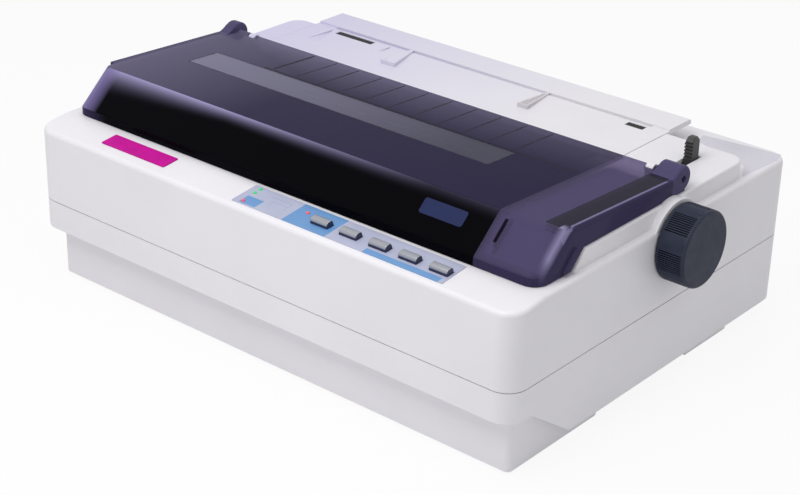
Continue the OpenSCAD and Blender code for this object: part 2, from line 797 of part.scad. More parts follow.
module print_head() in_frame() color([0.6, 0.61, 0.63]) translate([print_x0, 0, 0]) {
    y0 = guide_shaft[0] - 22;
    y1 = guide_shaft[0] + 20;
    tip = ribbon_y - ribbon_t / 2 - 0.45;
    difference() {
        block([-head_w / 2, head_w / 2], [y0, y1], [head_z, platen[1] + 8.4]);
        for (i = [0:4]) block([-head_w / 2 - past, head_w / 2 + past],
                              [y0 + 4 + 7 * i, y0 + 7 + 7 * i], [head_z + 8, platen[1] + 9.4]);
    }
    block([-nose_w / 2, nose_w / 2], [y1, tip], [platen[1] - nose_h / 2, platen[1] + nose_h / 2]);
}

module carriage_motor() in_frame() color([0.25, 0.25, 0.27]) {
    post([drive_x, belt_y], [chassis_z - 28, chassis_z], motor_r);
    post([drive_x, belt_y], [chassis_z, belt_z + belt_h + 1], motor_shaft_r);
}

module pulley(x) translate([x, belt_y, belt_z]) difference() {
    union() {
        translate([0, 0, -1]) cylinder(r = pulley_r, h = belt_h + 1.8);
        translate([0, 0, -1.2]) cylinder(r = pulley_r + 2, h = 0.8);
        translate([0, 0, belt_h + 0.4]) cylinder(r = pulley_r + 2, h = 0.8);
    }
    translate([0, 0, -2 * past]) cylinder(r = motor_shaft_r + run, h = belt_h + 4 * past);
    // flat on the hub that shows the turn
    translate([pulley_r - 1.2, -1, belt_h + 0.8]) cube([2, 2, 1]);
}

module drive_pulley() in_frame() color([0.8, 0.65, 0.35]) pulley(drive_x);

module idler_pulley() in_frame() color([0.9, 0.89, 0.85]) pulley(return_x);

module belt_loop(r) {
    for (x = [drive_x, return_x]) translate([x, belt_y]) circle(r);
    translate([drive_x, belt_y - r]) square([return_x - drive_x, 2 * r]);
}

module timing_belt() in_frame() color([0.1, 0.1, 0.1]) translate([0, 0, belt_z])
    linear_extrude(belt_h) difference() {
        belt_loop(belt_r + belt_t);
        belt_loop(belt_r);
    }

// ---------------------------------------------------------------- ribbon

module ribbon_cartridge() in_frame() color([0.11, 0.11, 0.12]) {
    z = [tab_z, tab_z + 15.4];
    block([cartridge_x0, cartridge_x1], [belt_y - 22, belt_y + 28], z);
    for (x = [cartridge_x0 + 8, cartridge_x1 - 8 - cartridge_arm]) {
        block([x, x + cartridge_arm], [belt_y + 28, ribbon_y - 6], [z[0], z[0] + 9]);
        block([x, x + cartridge_arm], [ribbon_y - 14, ribbon_y - 6],
              [platen[1] - ribbon_h / 2, z[0]]);
    }
    // winding knob
    post([cartridge_x0 + 30, belt_y + 4], [z[1], z[1] + 5], 9);
}

module ink_ribbon() in_frame() color([0.05, 0.05, 0.06]) {
    z = [platen[1] - ribbon_h / 2, platen[1] + ribbon_h / 2];
    x0 = cartridge_x0 + 12;
    x1 = cartridge_x1 - 12;
    block([x0, x1], [ribbon_y - ribbon_t / 2, ribbon_y + ribbon_t / 2], z);
    for (x = [x0, x1 - ribbon_t]) block([x, x + ribbon_t], [ribbon_y - 6, ribbon_y], z);
}

// ---------------------------------------------------------------- tractors

module tractor_shaft() in_frame() color([0.75, 0.76, 0.78]) {
    along_x([frame_x0 + frame_t + 1, frame_x1 - 1]) translate(tractor)
        square(square_w, center = true);
    bar([frame_x0 - 2, frame_x0 + frame_t + 1], tractor, stud_r);
    bar([frame_x1 - 1, gear_x0 + gear_w + 1], tractor, stud_r);
}

module tractor_rod() in_frame() color([0.75, 0.76, 0.78])
    bar([frame_x0 - 2, frame_x1 + frame_t + 2], tractor_rod_at, rod_r);

module tractor_body(x) {
    at = tractor;
    difference() {
        along_x([x, x + tractor_w]) union() {
            translate(at) circle(7);
            translate(tractor_rod_at) circle(7);
            polygon([at + [-7, 0], at + [-4, 8], at + [14, 4], tractor_rod_at + [7, 0],
                     tractor_rod_at + [0, -7], at + [-4, -7]]);
        }
        bar([x - past, x + tractor_w + past], at, square_w * 0.72);
        bar([x - past, x + tractor_w + past], tractor_rod_at, rod_r + run);
    }
    // pins, which start outside the bore
    for (i = [0:2]) post([x + tractor_w / 2, at[0] - 1 + 5 * i],
                         [at[1] + 5.2, at[1] + 9.4 - 1.2 * i], 1.4);
}

module tractor_door(x) {
    at = tractor + [-4, 8.4];
    turn = -13;
    translate([x, at[0], at[1]]) rotate([turn, 0, 0]) difference() {
        cube([tractor_w, 18, 1.6]);
        translate([tractor_w / 2 - 2.2, -past, -past]) cube([4.4, 16, 4]);
    }
}

module left_tractor() in_frame() color([0.14, 0.14, 0.15]) tractor_body(tractor_x0);

module right_tractor() in_frame() color([0.14, 0.14, 0.15]) tractor_body(tractor_x1);

module left_tractor_door() in_frame() color([0.2, 0.2, 0.22]) tractor_door(tractor_x0);

module right_tractor_door() in_frame() color([0.2, 0.2, 0.22]) tractor_door(tractor_x1);

// ---------------------------------------------------------------- lid

function inner_crease(t) = [crease_y, crease_z]
    + t * [sin(slope_a) + sin(top_a), -cos(slope_a) - cos(top_a)] / (1 + cos(slope_a - top_a));

module lid_outer() polygon([
    [lid_front, lid_foot_z], [lid_front, lip_z], [crease_y, crease_z], [lid_rear, rear_z],
    [lid_rear, lid_skirt_z + 3], [hinge_y - 1, lid_skirt_z],
    [deck_y0 - 2, lid_skirt_z], [deck_y0 - 10, lid_foot_z]
]);

module lid_inner() polygon([
    [lid_front + lid_t, lip_z - lid_t * (1 - sin(slope_a)) / cos(slope_a)], inner_crease(lid_t),
    [lid_rear + past, rear_z - lid_t / cos(top_a) + past * tan(top_a)],
    [lid_rear + past, lid_foot_z - past], [lid_front + lid_t, lid_foot_z - past]
]);

module lid_plan(t) translate([0, 0, lid_foot_z - past]) linear_extrude(crease_z) difference() {
    round_rect([lid_x0 + t, lid_x1 - t], [lid_front + t - 1, lid_rear + 40], lid_r - t);
    translate([0, lid_rear + past]) square([case_w, 60]);
}

module window_cut(t, z) on_top() block([window_x0 - t, window_x1 + t],
    [window_y0 - crease_y - t, window_y1 - crease_y + t], z);

module lid() in_frame() color([0.3, 0.26, 0.42, 0.6]) {
    difference() {
        union() {
            difference() {
                intersection() {
                    along_x([lid_x0, lid_x1]) lid_outer();
                    lid_plan(0);
                }
                intersection() {
                    along_x([lid_x0 + lid_t, lid_x1 - lid_t]) lid_inner();
                    lid_plan(lid_t);
                }
            }
            both_sides() bar([lid_x0, lid_x0 + knuckle_w], hinge, knuckle_r);
            both_sides() block([lid_x0 - 2.5, lid_x0 + lid_t / 2], [tab_y, tab_y + tab_d],
                               [lid_foot_z + 1.5, lid_foot_z + 16]);
        }
        both_sides() bar([lid_x0 - past, lid_x0 + knuckle_w + past], hinge, pin_r + run);
        both_sides() block([lid_x0 + knuckle_w, lid_x0 + knuckle_w + ear_w + 2 * ear_gap],
                           [ear_y0 - 1.2, lid_rear + past], [lid_skirt_z, deck_z + 2 * hinge_rise]);
        window_cut(-1.5, [-3 * lid_t, past]);
        window_cut(0, [-lid_t / 2, past]);
    }
}

module lid_window() in_frame() color([0.75, 0.72, 0.85, 0.5]) window_cut(0, [-lid_t / 2, 0]);

module lid_ribs() in_frame() color([0.25, 0.22, 0.33]) on_top() {
    rib_n = 11;
    rib_pitch = 22;
    x0 = 97;
    y = [window_y1 + 2 - crease_y, lid_rear - 3 - crease_y];
    block([x0 - 12, x0 + 12 + (rib_n - 1) * rib_pitch], y, [-lid_t - 1.4, -lid_t]);
    for (i = [0:rib_n - 1]) block([x0 + i * rib_pitch, x0 + 1.4 + i * rib_pitch], y,
                                  [-lid_t - 3.4, -lid_t - 1.4]);
}

module lid_plate() in_frame() color([0.2, 0.24, 0.45]) on_slope()
    block([label_x1 - 50.5, label_x1 - 16], [14.6, 25.8], [0, plate_t]);

module hinge_pins() in_frame() color([0.7, 0.7, 0.72]) both_sides()
    bar([lid_x0 + 2, lid_x0 + knuckle_w + ear_gap + ear_w], hinge, pin_r);

// ---------------------------------------------------------------- paper guide

function guide_axis() = [guide_y0 + guide_t / 2, guide_z + guide_t / 2];

module guide_end(x) along_x(x) polygon([
    [deck_y1 + gap, guide_foot_z], [guide_y1 + 7, guide_foot_z],
    [guide_y1, deck_z - run], [deck_y1 + gap, deck_z - run]
]);

module paper_guide() in_frame() color([0.88, 0.87, 0.9]) {
    y_axis = guide_axis()[0];
    difference() {
        union() {
            block([guide_x0, guide_x1], [y_axis, guide_y1], [guide_z, deck_z]);
            bar([guide_x0, guide_x1], guide_axis(), guide_t / 2);
            along_x([guide_x0, guide_x1]) polygon([
                [rail_y + rail_w, deck_z - past], [guide_y1, deck_z - past],
                [guide_y1 - band_h, deck_z + band_h], [rail_y + rail_w, deck_z + band_h]
            ]);
        }
        for (s = guide_slots) block([s[0], s[0] + s[1]], [rail_y - 9, rail_y - 2.5],
                                    [guide_z - past, deck_z + past]);
        block([guide_x0 + 19, guide_x1 - 14], [rail_y, rail_y + rail_w],
              [guide_z - past, deck_z + past]);
        // shallow finger dip at the middle of the left half
        translate([guide_x0, rail_y, deck_z - 1]) linear_extrude(past + 1)
            polygon([[77, -17], [82, -15], [78, -2]]);
        // shallow finger recess at the left
        translate([guide_x0, rail_y, deck_z - 1]) linear_extrude(past + 1)
            polygon([[17, -34], [30, -33], [19, -4]]);
    }
    guide_end([guide_x0, guide_x0 + guide_t]);
    guide_end([guide_x1 - guide_t, guide_x1]);
    bar([guide_x0 - 3.5, guide_x0], guide_axis(), trunnion_r);
    bar([guide_x1, guide_x1 + 3.5], guide_axis(), trunnion_r);
}

// A low wedge that slides along the rail, square at its left
module edge_guide() {
    difference() {
        intersection() {
            along_x([0, edge_w]) polygon([
                [rail_y - edge_len, deck_z + 0.1], [rail_y + rail_w, deck_z + 0.1],
                [rail_y + rail_w, deck_z + 0.8], [rail_y - edge_len, deck_z + edge_h]
            ]);
            translate([0, rail_y, deck_z]) linear_extrude(edge_h)
                polygon([[0, rail_w], [3, rail_w], [edge_w, -edge_len], [0, -edge_len]]);
        }
        post([3, rail_y - edge_len + 3], [deck_z + 1, deck_z + edge_h + past], 1.2);
    }
    block([0, 6], [rail_y + gap, rail_y + rail_w - gap], [guide_z - gap, deck_z + 0.2]);
    block([-4, 10], [rail_y - 2, rail_y + rail_w + 2], [guide_z - gap - 1.5, guide_z - gap]);
}

module left_edge_guide() in_frame() color([0.86, 0.85, 0.88])
    translate([left_edge_x, 0, 0]) edge_guide();

module right_edge_guide() in_frame() color([0.4, 0.4, 0.42])
    translate([right_edge_x, 0, 0]) edge_guide();

// ---------------------------------------------------------------- levers

module release_lever() in_frame() color([0.22, 0.22, 0.22]) {
    at = lever_pivot;
    deck_at = [slot_y1 - 7.5, deck_z];
    difference() {
        along_x([lever_x, lever_x + lever_w]) union() {
            translate(at) circle(7);
            polygon([at + [-6, 2], at + [6, 2], deck_at + [4.2, -4], deck_at + [4.6, lever_top - 2],
                     deck_at + [2.6, lever_top], deck_at + [-1.6, lever_top],
                     deck_at + [-3.4, lever_top - 2], deck_at + [-4.6, -4]]);
        }
        // thumb ribs on the front face
        for (i = [0:3]) block([lever_x - past, lever_x + lever_w + past],
                              [deck_at[0] - 6, deck_at[0] - 3.3],
                              [deck_z + 2 + 3 * i, deck_z + 3.2 + 3 * i]);
    }
    bar([frame_x1 - 4, lever_x], at, lever_shaft_r);
}

module gap_lever() in_frame() color([0.1, 0.1, 0.11]) {
    at = gap_pivot;
    along_x([gap_x, gap_x + gap_w]) union() {
        translate(at) circle(6);
        polygon([at + [-4, -2], at + [4, 4], gap_tip + [4, 3], gap_tip, gap_tip + [-2.4, -2.6]]);
    }
    bar([frame_x1 - 3, gap_x], at, stud_r);
}

// ---------------------------------------------------------------- strip in front of the lid

module lamp_places() on_strip() for (at = lamps_at) translate([label_x0 + at[0], at[1], 0]) children();

module front_plate() in_frame() color([0.8, 0.1, 0.65]) on_strip()
    block([59, 122], [10, 24.5], [0, plate_t + 0.2]);

module panel_label() in_frame() color([0.74, 0.75, 0.85]) difference() {
    on_strip() block([label_x0, label_x1], [5, strip_d - 2], [0, plate_t]);
    for (i = [0:button_n - 1]) button_place(i) translate([-gap, -gap, -past])
        cube([button_w + 2 * gap, button_d + 2 * gap, 3 * past]);
    lamp_places() translate([0, 0, -past]) cylinder(r = lamp_r, h = 3 * past);
}

module panel_lamps() in_frame() color([0.35, 0.8, 0.4]) lamp_places() {
    translate([0, 0, -board_drop]) cylinder(r = lamp_r, h = board_drop + plate_t);
    translate([0, 0, plate_t]) intersection() {
        sphere(lamp_r);
        translate([-2, -2, 0]) cube([4, 4, 4]);
    }
}

module panel_board() in_frame() color([0.1, 0.35, 0.2]) {
    difference() {
        on_strip() block([label_x0, label_x1], [8, strip_d - 2], [-board_drop - board_t, -board_drop]);
        board_bosses() translate([0, 0, -board_t - past]) cylinder(r = 1, h = board_t + 2 * past);
    }
    for (i = [0:button_n - 1]) button_place(i)
        translate([button_w / 2 - 3, button_d / 2 - 3, -board_drop]) cube([6, 6, 4]);
}

module button(i) in_frame() color([0.2, 0.22, 0.35]) button_place(i) {
    cap_z = -wall - 0.2;
    translate([0, 0, cap_z]) cube([button_w, button_d, button_h - cap_z]);
    translate([-1, -1, cap_z - 1.4]) cube([button_w + 2, button_d + 2, 1.4]);
    stem_top = cap_z - 1.4;
    stem_low = -board_drop + 4 + button_travel + 0.1;
    translate([button_w / 2, button_d / 2, stem_low]) cylinder(r = 2, h = stem_top - stem_low);
}

module button_1() button(0);
module button_2() button(1);
module button_3() button(2);
module button_4() button(3);
module button_5() button(4);

// ---------------------------------------------------------------- electrics

module transformer() in_frame() color([0.35, 0.35, 0.36]) {
    y = [chassis_y1 + 6, case_d - wall - 4];
    z = [skirt_z + wall, skirt_z + wall + 46];
    block([48, 104], y, z);
    block([56, 96], [y[0] + 4, y[1] - 4], [z[1], z[1] + 8]);
}

module board(x, y) block(x, y, [board_z, board_z + board_t]);

module power_board() in_frame() color([0.55, 0.42, 0.2]) {
    top = board_z + board_t;
    board([36, 168], [122, chassis_y1 - 6]);
    for (i = [0:2]) post([60 + 24 * i, 150], [top, top + 16], 7);
    block([50, 140], [190, 194], [top, top + 18]);
    block([60, 90], [210, 236], [top, top + 14]);
}

module main_board() in_frame() color([0.1, 0.35, 0.2]) {
    top = board_z + board_t;
    board([182, case_w - 46], [122, case_d - 14]);
    block([210, 250], [150, 164], [top, top + 4]);
    block([270, 320], [146, 160], [top, top + 4]);
    block([230, 250], [200, 220], [top, top + 3]);
    for (i = [0:3]) block([340, 350], [140 + 24 * i, 158 + 24 * i], [top, top + 3.5]);
    // interface socket on the rear edge, with its tongue
    difference() {
        block([port_x, port_x + port_w], [case_d - 26, case_d], [top, top + port_h]);
        block([port_x + 3, port_x + port_w - 3], [case_d - 12, case_d + past],
              [top + 2.5, top + port_h - 2.5]);
    }
    block([port_x + 8, port_x + port_w - 8], [case_d - 12, case_d - 2], [top + 5.6, top + 8.4]);
}

module power_inlet() in_frame() color([0.08, 0.08, 0.09]) {
    z = [board_z + 4, board_z + 4 + inlet_h];
    mid = inlet_x + inlet_w / 2;
    difference() {
        block([inlet_x, inlet_x + inlet_w], [case_d - 26, case_d], z);
        block([inlet_x + 2.5, inlet_x + inlet_w - 2.5], [case_d - 18, case_d + past],
              [z[0] + 2.5, z[1] - 2.5]);
    }
    // contacts
    for (p = [[-7, -2], [7, -2], [0, 3.5]])
        block([mid + p[0] - 1, mid + p[0] + 1], [case_d - 18, case_d - 5],
              [(z[0] + z[1]) / 2 + p[1] - 2, (z[0] + z[1]) / 2 + p[1] + 2]);
    // housing of the rocker, joined to the inlet behind the case wall
    difference() {
        block([switch_x, switch_x + switch_w], [case_d - 22, case_d], z);
        block([switch_x + 1.5, switch_x + switch_w - 1.5], [case_d - 16, case_d + past],
              [z[0] + 1, z[1] - 1]);
        bar([switch_x + 0.5, switch_x + switch_w - 0.5], rocker_at, rocker_pin_r + run);
    }
    block([inlet_x + inlet_w, switch_x], [case_d - wall - 6, case_d - wall], z);
}

module power_switch() in_frame() color([0.1, 0.1, 0.11]) {
    half = inlet_h / 2 - 2.6;
    along_x([switch_x + 1.9, switch_x + switch_w - 1.9]) translate(rocker_at) union() {
        circle(3.4);
        polygon([[-1, -3.2], [6.8, -half], [5, 0], [4.2, half], [-1, 3.2]]);
    }
    bar([switch_x + 0.7, switch_x + switch_w - 0.7], rocker_at, rocker_pin_r);
}

lower_case();
upper_case();
rubber_feet();
case_screws();
chassis_plate();
left_frame();
right_frame();
gear_plate();
frame_screws();
platen_roller();
platen_shaft();
platen_gear();
platen_knob();
platen_bushes();
idler_gear();
motor_pinion();
feed_motor();
paper_pan();
bail_frame();
bail_rollers();
guide_shaft();
carriage();
print_head();
carriage_motor();
drive_pulley();
idler_pulley();
timing_belt();
ribbon_cartridge();
ink_ribbon();
tractor_shaft();
tractor_gear();
tractor_rod();
left_tractor();
right_tractor();
left_tractor_door();
right_tractor_door();
lid();
lid_window();
lid_ribs();
lid_plate();
hinge_pins();
paper_guide();
left_edge_guide();
right_edge_guide();
release_lever();
gap_lever();
front_plate();
panel_label();
panel_lamps();
panel_board();
button_1();
button_2();
button_3();
button_4();
button_5();
transformer();
power_board();
main_board();
power_inlet();
power_switch();
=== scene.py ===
"""Dot matrix printer with a smoked lid: its visible pieces and their finishes, over the CAD frame."""
import math
from functools import cached_property

import bmesh
import bpy
from mathutils import Matrix, Vector


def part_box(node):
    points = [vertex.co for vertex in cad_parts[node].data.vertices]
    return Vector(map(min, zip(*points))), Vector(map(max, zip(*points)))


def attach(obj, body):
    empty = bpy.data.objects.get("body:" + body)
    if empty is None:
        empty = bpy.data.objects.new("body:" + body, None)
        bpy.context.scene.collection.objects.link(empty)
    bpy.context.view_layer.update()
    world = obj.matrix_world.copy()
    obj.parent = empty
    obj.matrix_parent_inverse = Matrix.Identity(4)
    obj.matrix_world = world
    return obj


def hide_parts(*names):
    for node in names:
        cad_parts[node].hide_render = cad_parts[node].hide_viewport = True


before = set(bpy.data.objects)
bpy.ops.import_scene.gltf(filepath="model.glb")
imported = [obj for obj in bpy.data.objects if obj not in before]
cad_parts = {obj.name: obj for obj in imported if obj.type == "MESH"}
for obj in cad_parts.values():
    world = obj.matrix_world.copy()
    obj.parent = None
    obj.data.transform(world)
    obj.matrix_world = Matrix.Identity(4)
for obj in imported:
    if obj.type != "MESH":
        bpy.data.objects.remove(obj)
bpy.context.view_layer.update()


# ---------------- places

MM = 0.001
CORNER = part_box("lower_case")[0]
ANY = (-1000, 1000)


def at(x, y, z):
    """A place in mm from the case's left side, from its front, and from the floor."""
    return Vector((CORNER.x + x * MM, CORNER.y + y * MM, z * MM))


def in_mm(place):
    return Vector(((place.x - CORNER.x) / MM, (place.y - CORNER.y) / MM, place.z / MM))


class Face:
    """A face that rises from front to back, on which places are given across it, up it and off it."""

    def __init__(self, y, z, to_y, to_z):
        self.foot = (y, z)
        self.tilt = math.atan2(to_z - z, to_y - y)
        self.up = Vector((0, math.cos(self.tilt), math.sin(self.tilt)))
        self.out = Vector((0, -math.sin(self.tilt), math.cos(self.tilt)))

    def at(self, across, along, off):
        return at(across, *self.foot) + (self.up * along + self.out * off) * MM


# ---------------- sizes, in mm

CASE_W, CASE_D, CASE_R = 430, 320, 15
WALL = 3
SKIRT_Z, FLANGE_Z, JOINT_Z = 13, 42, 64
JOINT_GAP, JOINT_D = 0.35, 1.7
FRONT_Z, LEDGE_Z, DECK_Z = 118, 121.5, 134
STRIP_D, LEDGE_W, DECK_Y1 = 31, 6, 268
LID_X0, LID_X1, LID_T = 8, 422, 2.5
LID_FRONT, LID_FOOT, LIP_Z = 31.5, 122, 128
LID_REAR, LID_SKIRT, CREASE = 192, 134.3, (57.3, 151.5)
RISE_Y, RISE = 66, (0, LID_FOOT - LID_SKIRT, 8)
HINGE, LOBE_R, PIN_R, EAR_R = (190, 143.3), 9, 2.5, 3.7
LEFT_LOBE, RIGHT_LOBE, LOBE_SPAN = (8, 18), (405, 422), 22
PLATEN, KNOB_R, KNOB_X = (174, 107.6), 26.6, (431, 452.2)
GUIDE_X, GUIDE_Y, RAIL_Y = (27, 359), (208.25, 300), 270

# the lower shell: its plinth, foot blocks and slanted skirt, and the vents and openings in it
PLINTH_X, PLINTH_Y, PLINTH_Z = (8.5, 421.5), (13, 110), 1.2
FOOT_X, FOOT_Y, FOOT_Z = (8.5, 68.5), (215, 267), 16
SKIRT_Y = (23, 64.5)
FEET = [(28.5, 33), (CASE_W - 28.5, 33), (38.5, 241), (CASE_W - 38.5, 241)]
REAR_PARTS = [((128, 156), (24, 45)), ((172, 186), (24, 45)), ((268, 336), (21.6, 35.6))]
VENTS, VENT_STEP = 10, 16

# the upper shell: the housing right of the print bay, the well beside it, and what is let into the deck
DECK_Y0 = 62.5
HOUSING_X, HOUSING_Y1, UNDER_LID = (371, 403), 179, 5.5
WELL_X, WELL_Y0 = (403, 417.5), 61.3
EAR_X = (394, 399.6)
BAY_X1 = 346
COVER_GAP, KEY_GAP, REAR_GAP = 0.3, 0.3, 0.3
ABOVE = 152

# the strip: its keys and lamps, by their places across it and up it
KEY_STEP, KEY_W, KEY_Y = 24.6, 14.5, (12.6, 19.1)
KEY_X = [255.5 + KEY_STEP * i for i in range(5)]
LAMPS, LAMP_R = [(199, 25.6), (199, 20.2), (199.7, 8.4), (246, 20.8)], 1.3

# the lid's top: its window, and the ribs under it, by their ends across it and up it
PANE_X, PANE_Y, PANE_T = (43, 322), (53.2, 83.8), 1.25
RIB_X, RIB_STEP, RIB_ENDS, RIBS = 97, 22, (87, 131.6), 11

# the cover's slots, the release lever, the interface socket's corner, and the pitch of a board's pads
SLOTS_X, SLOT_Y = ((53, 90), (328, 343)), (261, 267.5)
LEVER_X, LEVER_PIVOT = (392.4, 398.6), (236, 86)
SOCKET, PAD_PITCH = (267, 293.8, 21.3), 2.54

LEVEL = Face(0, 0, 1, 0)
STRIP = Face(0, FRONT_Z, STRIP_D, LEDGE_Z)
SLOPE = Face(LID_FRONT, LIP_Z, *CREASE)
TOP = Face(*CREASE, LID_REAR, 145.2)


# ---------------- modelling

def free_hands():
    """Object mode, with nothing selected."""
    if bpy.context.object and bpy.context.object.mode != "OBJECT":
        bpy.ops.object.mode_set(mode="OBJECT")
    bpy.ops.object.select_all(action="DESELECT")


def take_up(piece, *others):
    """Selects pieces in object mode, the first as the active one."""
    free_hands()
    for part in (piece, *others):
        part.select_set(True)
    bpy.context.view_layer.objects.active = piece


def settle(name):
    """Names the new piece and puts its place into its mesh."""
    piece = bpy.context.object
    piece.name = piece.data.name = name
    bpy.ops.object.transform_apply(location=True, rotation=True, scale=True)
    return piece


def block(name, x, y, z, on=LEVEL):
    """A block by its ends along X, Y and Z, or across, up and off a tilted face."""
    free_hands()
    middle = [(low + high) / 2 for low, high in (x, y, z)]
    bpy.ops.mesh.primitive_cube_add(size=1, location=on.at(*middle), rotation=(on.tilt, 0, 0))
    bpy.context.object.scale = [(high - low) * MM for low, high in (x, y, z)]
    return settle(name)


def rod(name, axis, ends, centre, r, sides=48, on=LEVEL):
    """A round bar by its ends along an axis and its place on the other two."""
    free_hands()
    middle = list(centre)
    middle.insert("XYZ".index(axis), sum(ends) / 2)
    turn = {"X": (0, math.pi / 2, 0), "Y": (math.pi / 2, 0, 0), "Z": (on.tilt, 0, 0)}[axis]
    bpy.ops.mesh.primitive_cylinder_add(vertices=sides, radius=r * MM, location=on.at(*middle),
                                        depth=(ends[1] - ends[0]) * MM, rotation=turn)
    return settle(name)


def wedge(name, plan, low, high):
    """An upright prism over a plan of [x, y] corners, with a height below and above each corner."""
    free_hands()
    bpy.ops.mesh.primitive_cylinder_add(vertices=len(plan), radius=MM, depth=MM)
    piece = settle(name)
    with Editing(piece):
        mesh = bmesh.from_edit_mesh(piece.data)
        around = sorted(mesh.verts, key=lambda v: math.atan2(v.co.y, v.co.x))
        rings = [[v for v in around if v.co.z * side > 0] for side in (-1, 1)]
        for ring, heights in zip(rings, (low, high)):
            for vert, (x, y), z in zip(ring, plan, heights):
                vert.co = at(x, y, z)
        bpy.ops.mesh.select_all(action="SELECT")
        bpy.ops.mesh.normals_make_consistent(inside=False)
    return piece


class Editing:
    """Edit mode on one piece, with nothing selected."""

    def __init__(self, piece):
        self.piece = piece

    def __enter__(self):
        take_up(self.piece)
        bpy.ops.object.mode_set(mode="EDIT")
        bpy.ops.mesh.select_all(action="DESELECT")

    def __exit__(self, *trouble):
        bpy.ops.object.mode_set(mode="OBJECT")


def pick(kind, test):
    """In edit mode, selects the edges or the faces that pass the test."""
    bpy.ops.mesh.select_mode(type=kind)
    bpy.ops.mesh.select_all(action="DESELECT")
    piece = bpy.context.object
    mesh = bmesh.from_edit_mesh(piece.data)
    chosen = [part for part in {"EDGE": mesh.edges, "FACE": mesh.faces}[kind] if test(part)]
    if not chosen:
        raise ValueError("nothing to pick on " + piece.name)
    for part in chosen:
        part.select_set(True)
    bmesh.update_edit_mesh(piece.data)


def within(part, x=ANY, y=ANY, z=ANY):
    """Whether a part of a mesh lies between the given ends, in mm."""
    places = [in_mm(vert.co) for vert in part.verts]
    return all(low - 0.02 <= place[i] <= high + 0.02
               for place in places for i, (low, high) in enumerate((x, y, z)))


def upright(edge):
    a, b = (vert.co for vert in edge.verts)
    return abs(a.z - b.z) > 0.99 * (a - b).length


def rim(edge):
    """Whether an edge lies between a face that looks up and an upright one."""
    rises = sorted(abs(face.normal.z) for face in edge.link_faces)
    ups = max((face.normal.z for face in edge.link_faces), default=0)
    return len(rises) == 2 and ups > 0.6 and rises[0] < 0.2 and not upright(edge)


def sharp(edge):
    return len(edge.link_faces) == 2 and edge.calc_face_angle() > math.radians(50)


def runs_along(edge, way):
    """Whether an edge points along a direction or against it."""
    a, b = (vert.co for vert in edge.verts)
    return abs((a - b).normalized().dot(way)) > 0.9


def round_edges(piece, width, steps, test):
    """Rounds the edges that pass the test."""
    with Editing(piece):
        pick("EDGE", test)
        bpy.ops.mesh.bevel(offset=width * MM, segments=steps, affect="EDGES")


def slice_off(piece, place, facing):
    """Takes away what lies beyond a plane and closes the cut."""
    with Editing(piece):
        bpy.ops.mesh.select_all(action="SELECT")
        bpy.ops.mesh.bisect(plane_co=place, plane_no=facing, use_fill=True, clear_outer=True)


def slice_to(piece, face, off=0):
    slice_off(piece, face.at(0, 0, off), face.out)


def apply_modifier(piece, kind, **settings):
    take_up(piece)
    modifier = piece.modifiers.new(kind.lower(), kind)
    for key, value in settings.items():
        setattr(modifier, key, value)
    bpy.ops.object.modifier_apply(modifier=modifier.name)


def combine(piece, others, operation):
    """Joins other pieces to this one or cuts them from it, and does away with them."""
    for other in others:
        apply_modifier(piece, "BOOLEAN", operation=operation, solver="EXACT", object=other)
        bpy.data.objects.remove(other)


def add(piece, *others):
    combine(piece, others, "UNION")


def cut(piece, *others):
    combine(piece, others, "DIFFERENCE")


def gather(name, pieces):
    """Several pieces as one, their meshes side by side."""
    take_up(*pieces)
    bpy.ops.object.join()
    pieces[0].name = pieces[0].data.name = name
    return pieces[0]


def another(piece, name, move=(0, 0, 0), turn=None):
    """A copy with its own mesh, moved in mm, or turned by a matrix."""
    copy = piece.copy()
    copy.data = piece.data.copy()
    copy.data.transform(turn or Matrix.Translation(Vector(move) * MM))
    bpy.context.collection.objects.link(copy)
    copy.name = copy.data.name = name
    return copy


def both(x):
    """Ends along X, and the same ends on the other side of the case."""
    return (x, (CASE_W - x[1], CASE_W - x[0]))


def grown(ends, by):
    """Two ends moved apart by an amount each, or together if it is negative."""
    return (ends[0] - by, ends[1] + by)


def smooth(piece, soften=0.0, steps=2, angle=35):
    """Takes the sharpness off what is left of hard edges, and shades the piece."""
    with Editing(piece):
        bpy.ops.mesh.select_all(action="SELECT")
        bpy.ops.mesh.remove_doubles(threshold=0.00001)
    if soften:
        apply_modifier(piece, "BEVEL", width=soften * MM, segments=steps, limit_method="ANGLE",
                       angle_limit=math.radians(angle), use_clamp_overlap=True)
    take_up(piece)
    bpy.ops.object.shade_smooth_by_angle(angle=math.radians(angle))
    apply_modifier(piece, "WEIGHTED_NORMAL", keep_sharp=True, weight=80)


def dress(piece, body, slot, finish, *nodes):
    """Gives a piece its finish, its body and the CAD nodes it stands for."""
    if finish:
        piece.data.materials.clear()
        piece.data.materials.append(finish)
    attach(piece, body)
    if nodes:
        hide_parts(*nodes)


# ---------------- finishes

def paint(red, green, blue):
    """A colour as it is mixed for a screen, 0 to 255, as light."""
    return tuple((c / 255 / 12.92) if c < 10.3 else ((c / 255 + 0.055) / 1.055) ** 2.4
                 for c in (red, green, blue)) + (1,)


def sums(operation):
    """What a sign of arithmetic does between a wire and another wire or a number."""
    return lambda wire, other: wire.sum(operation, other)


class Wire:
    """A socket on which sums can be written; each sum adds the Math node that it needs."""

    def __init__(self, nodes, socket):
        self.nodes, self.socket = nodes, socket

    def sum(self, operation, *others):
        return self.nodes.node("Math", {"operation": operation}, (self, *others))

    __add__, __sub__, __mul__ = sums("ADD"), sums("SUBTRACT"), sums("MULTIPLY")
    __gt__, __lt__ = sums("GREATER_THAN"), sums("LESS_THAN")

    def __rsub__(self, other):
        return self.nodes.node("Math", {"operation": "SUBTRACT"}, (other, self))


def either(first, *more):
    """The greatest of several shares."""
    for share in more:
        first = first.sum("MAXIMUM", share)
    return first


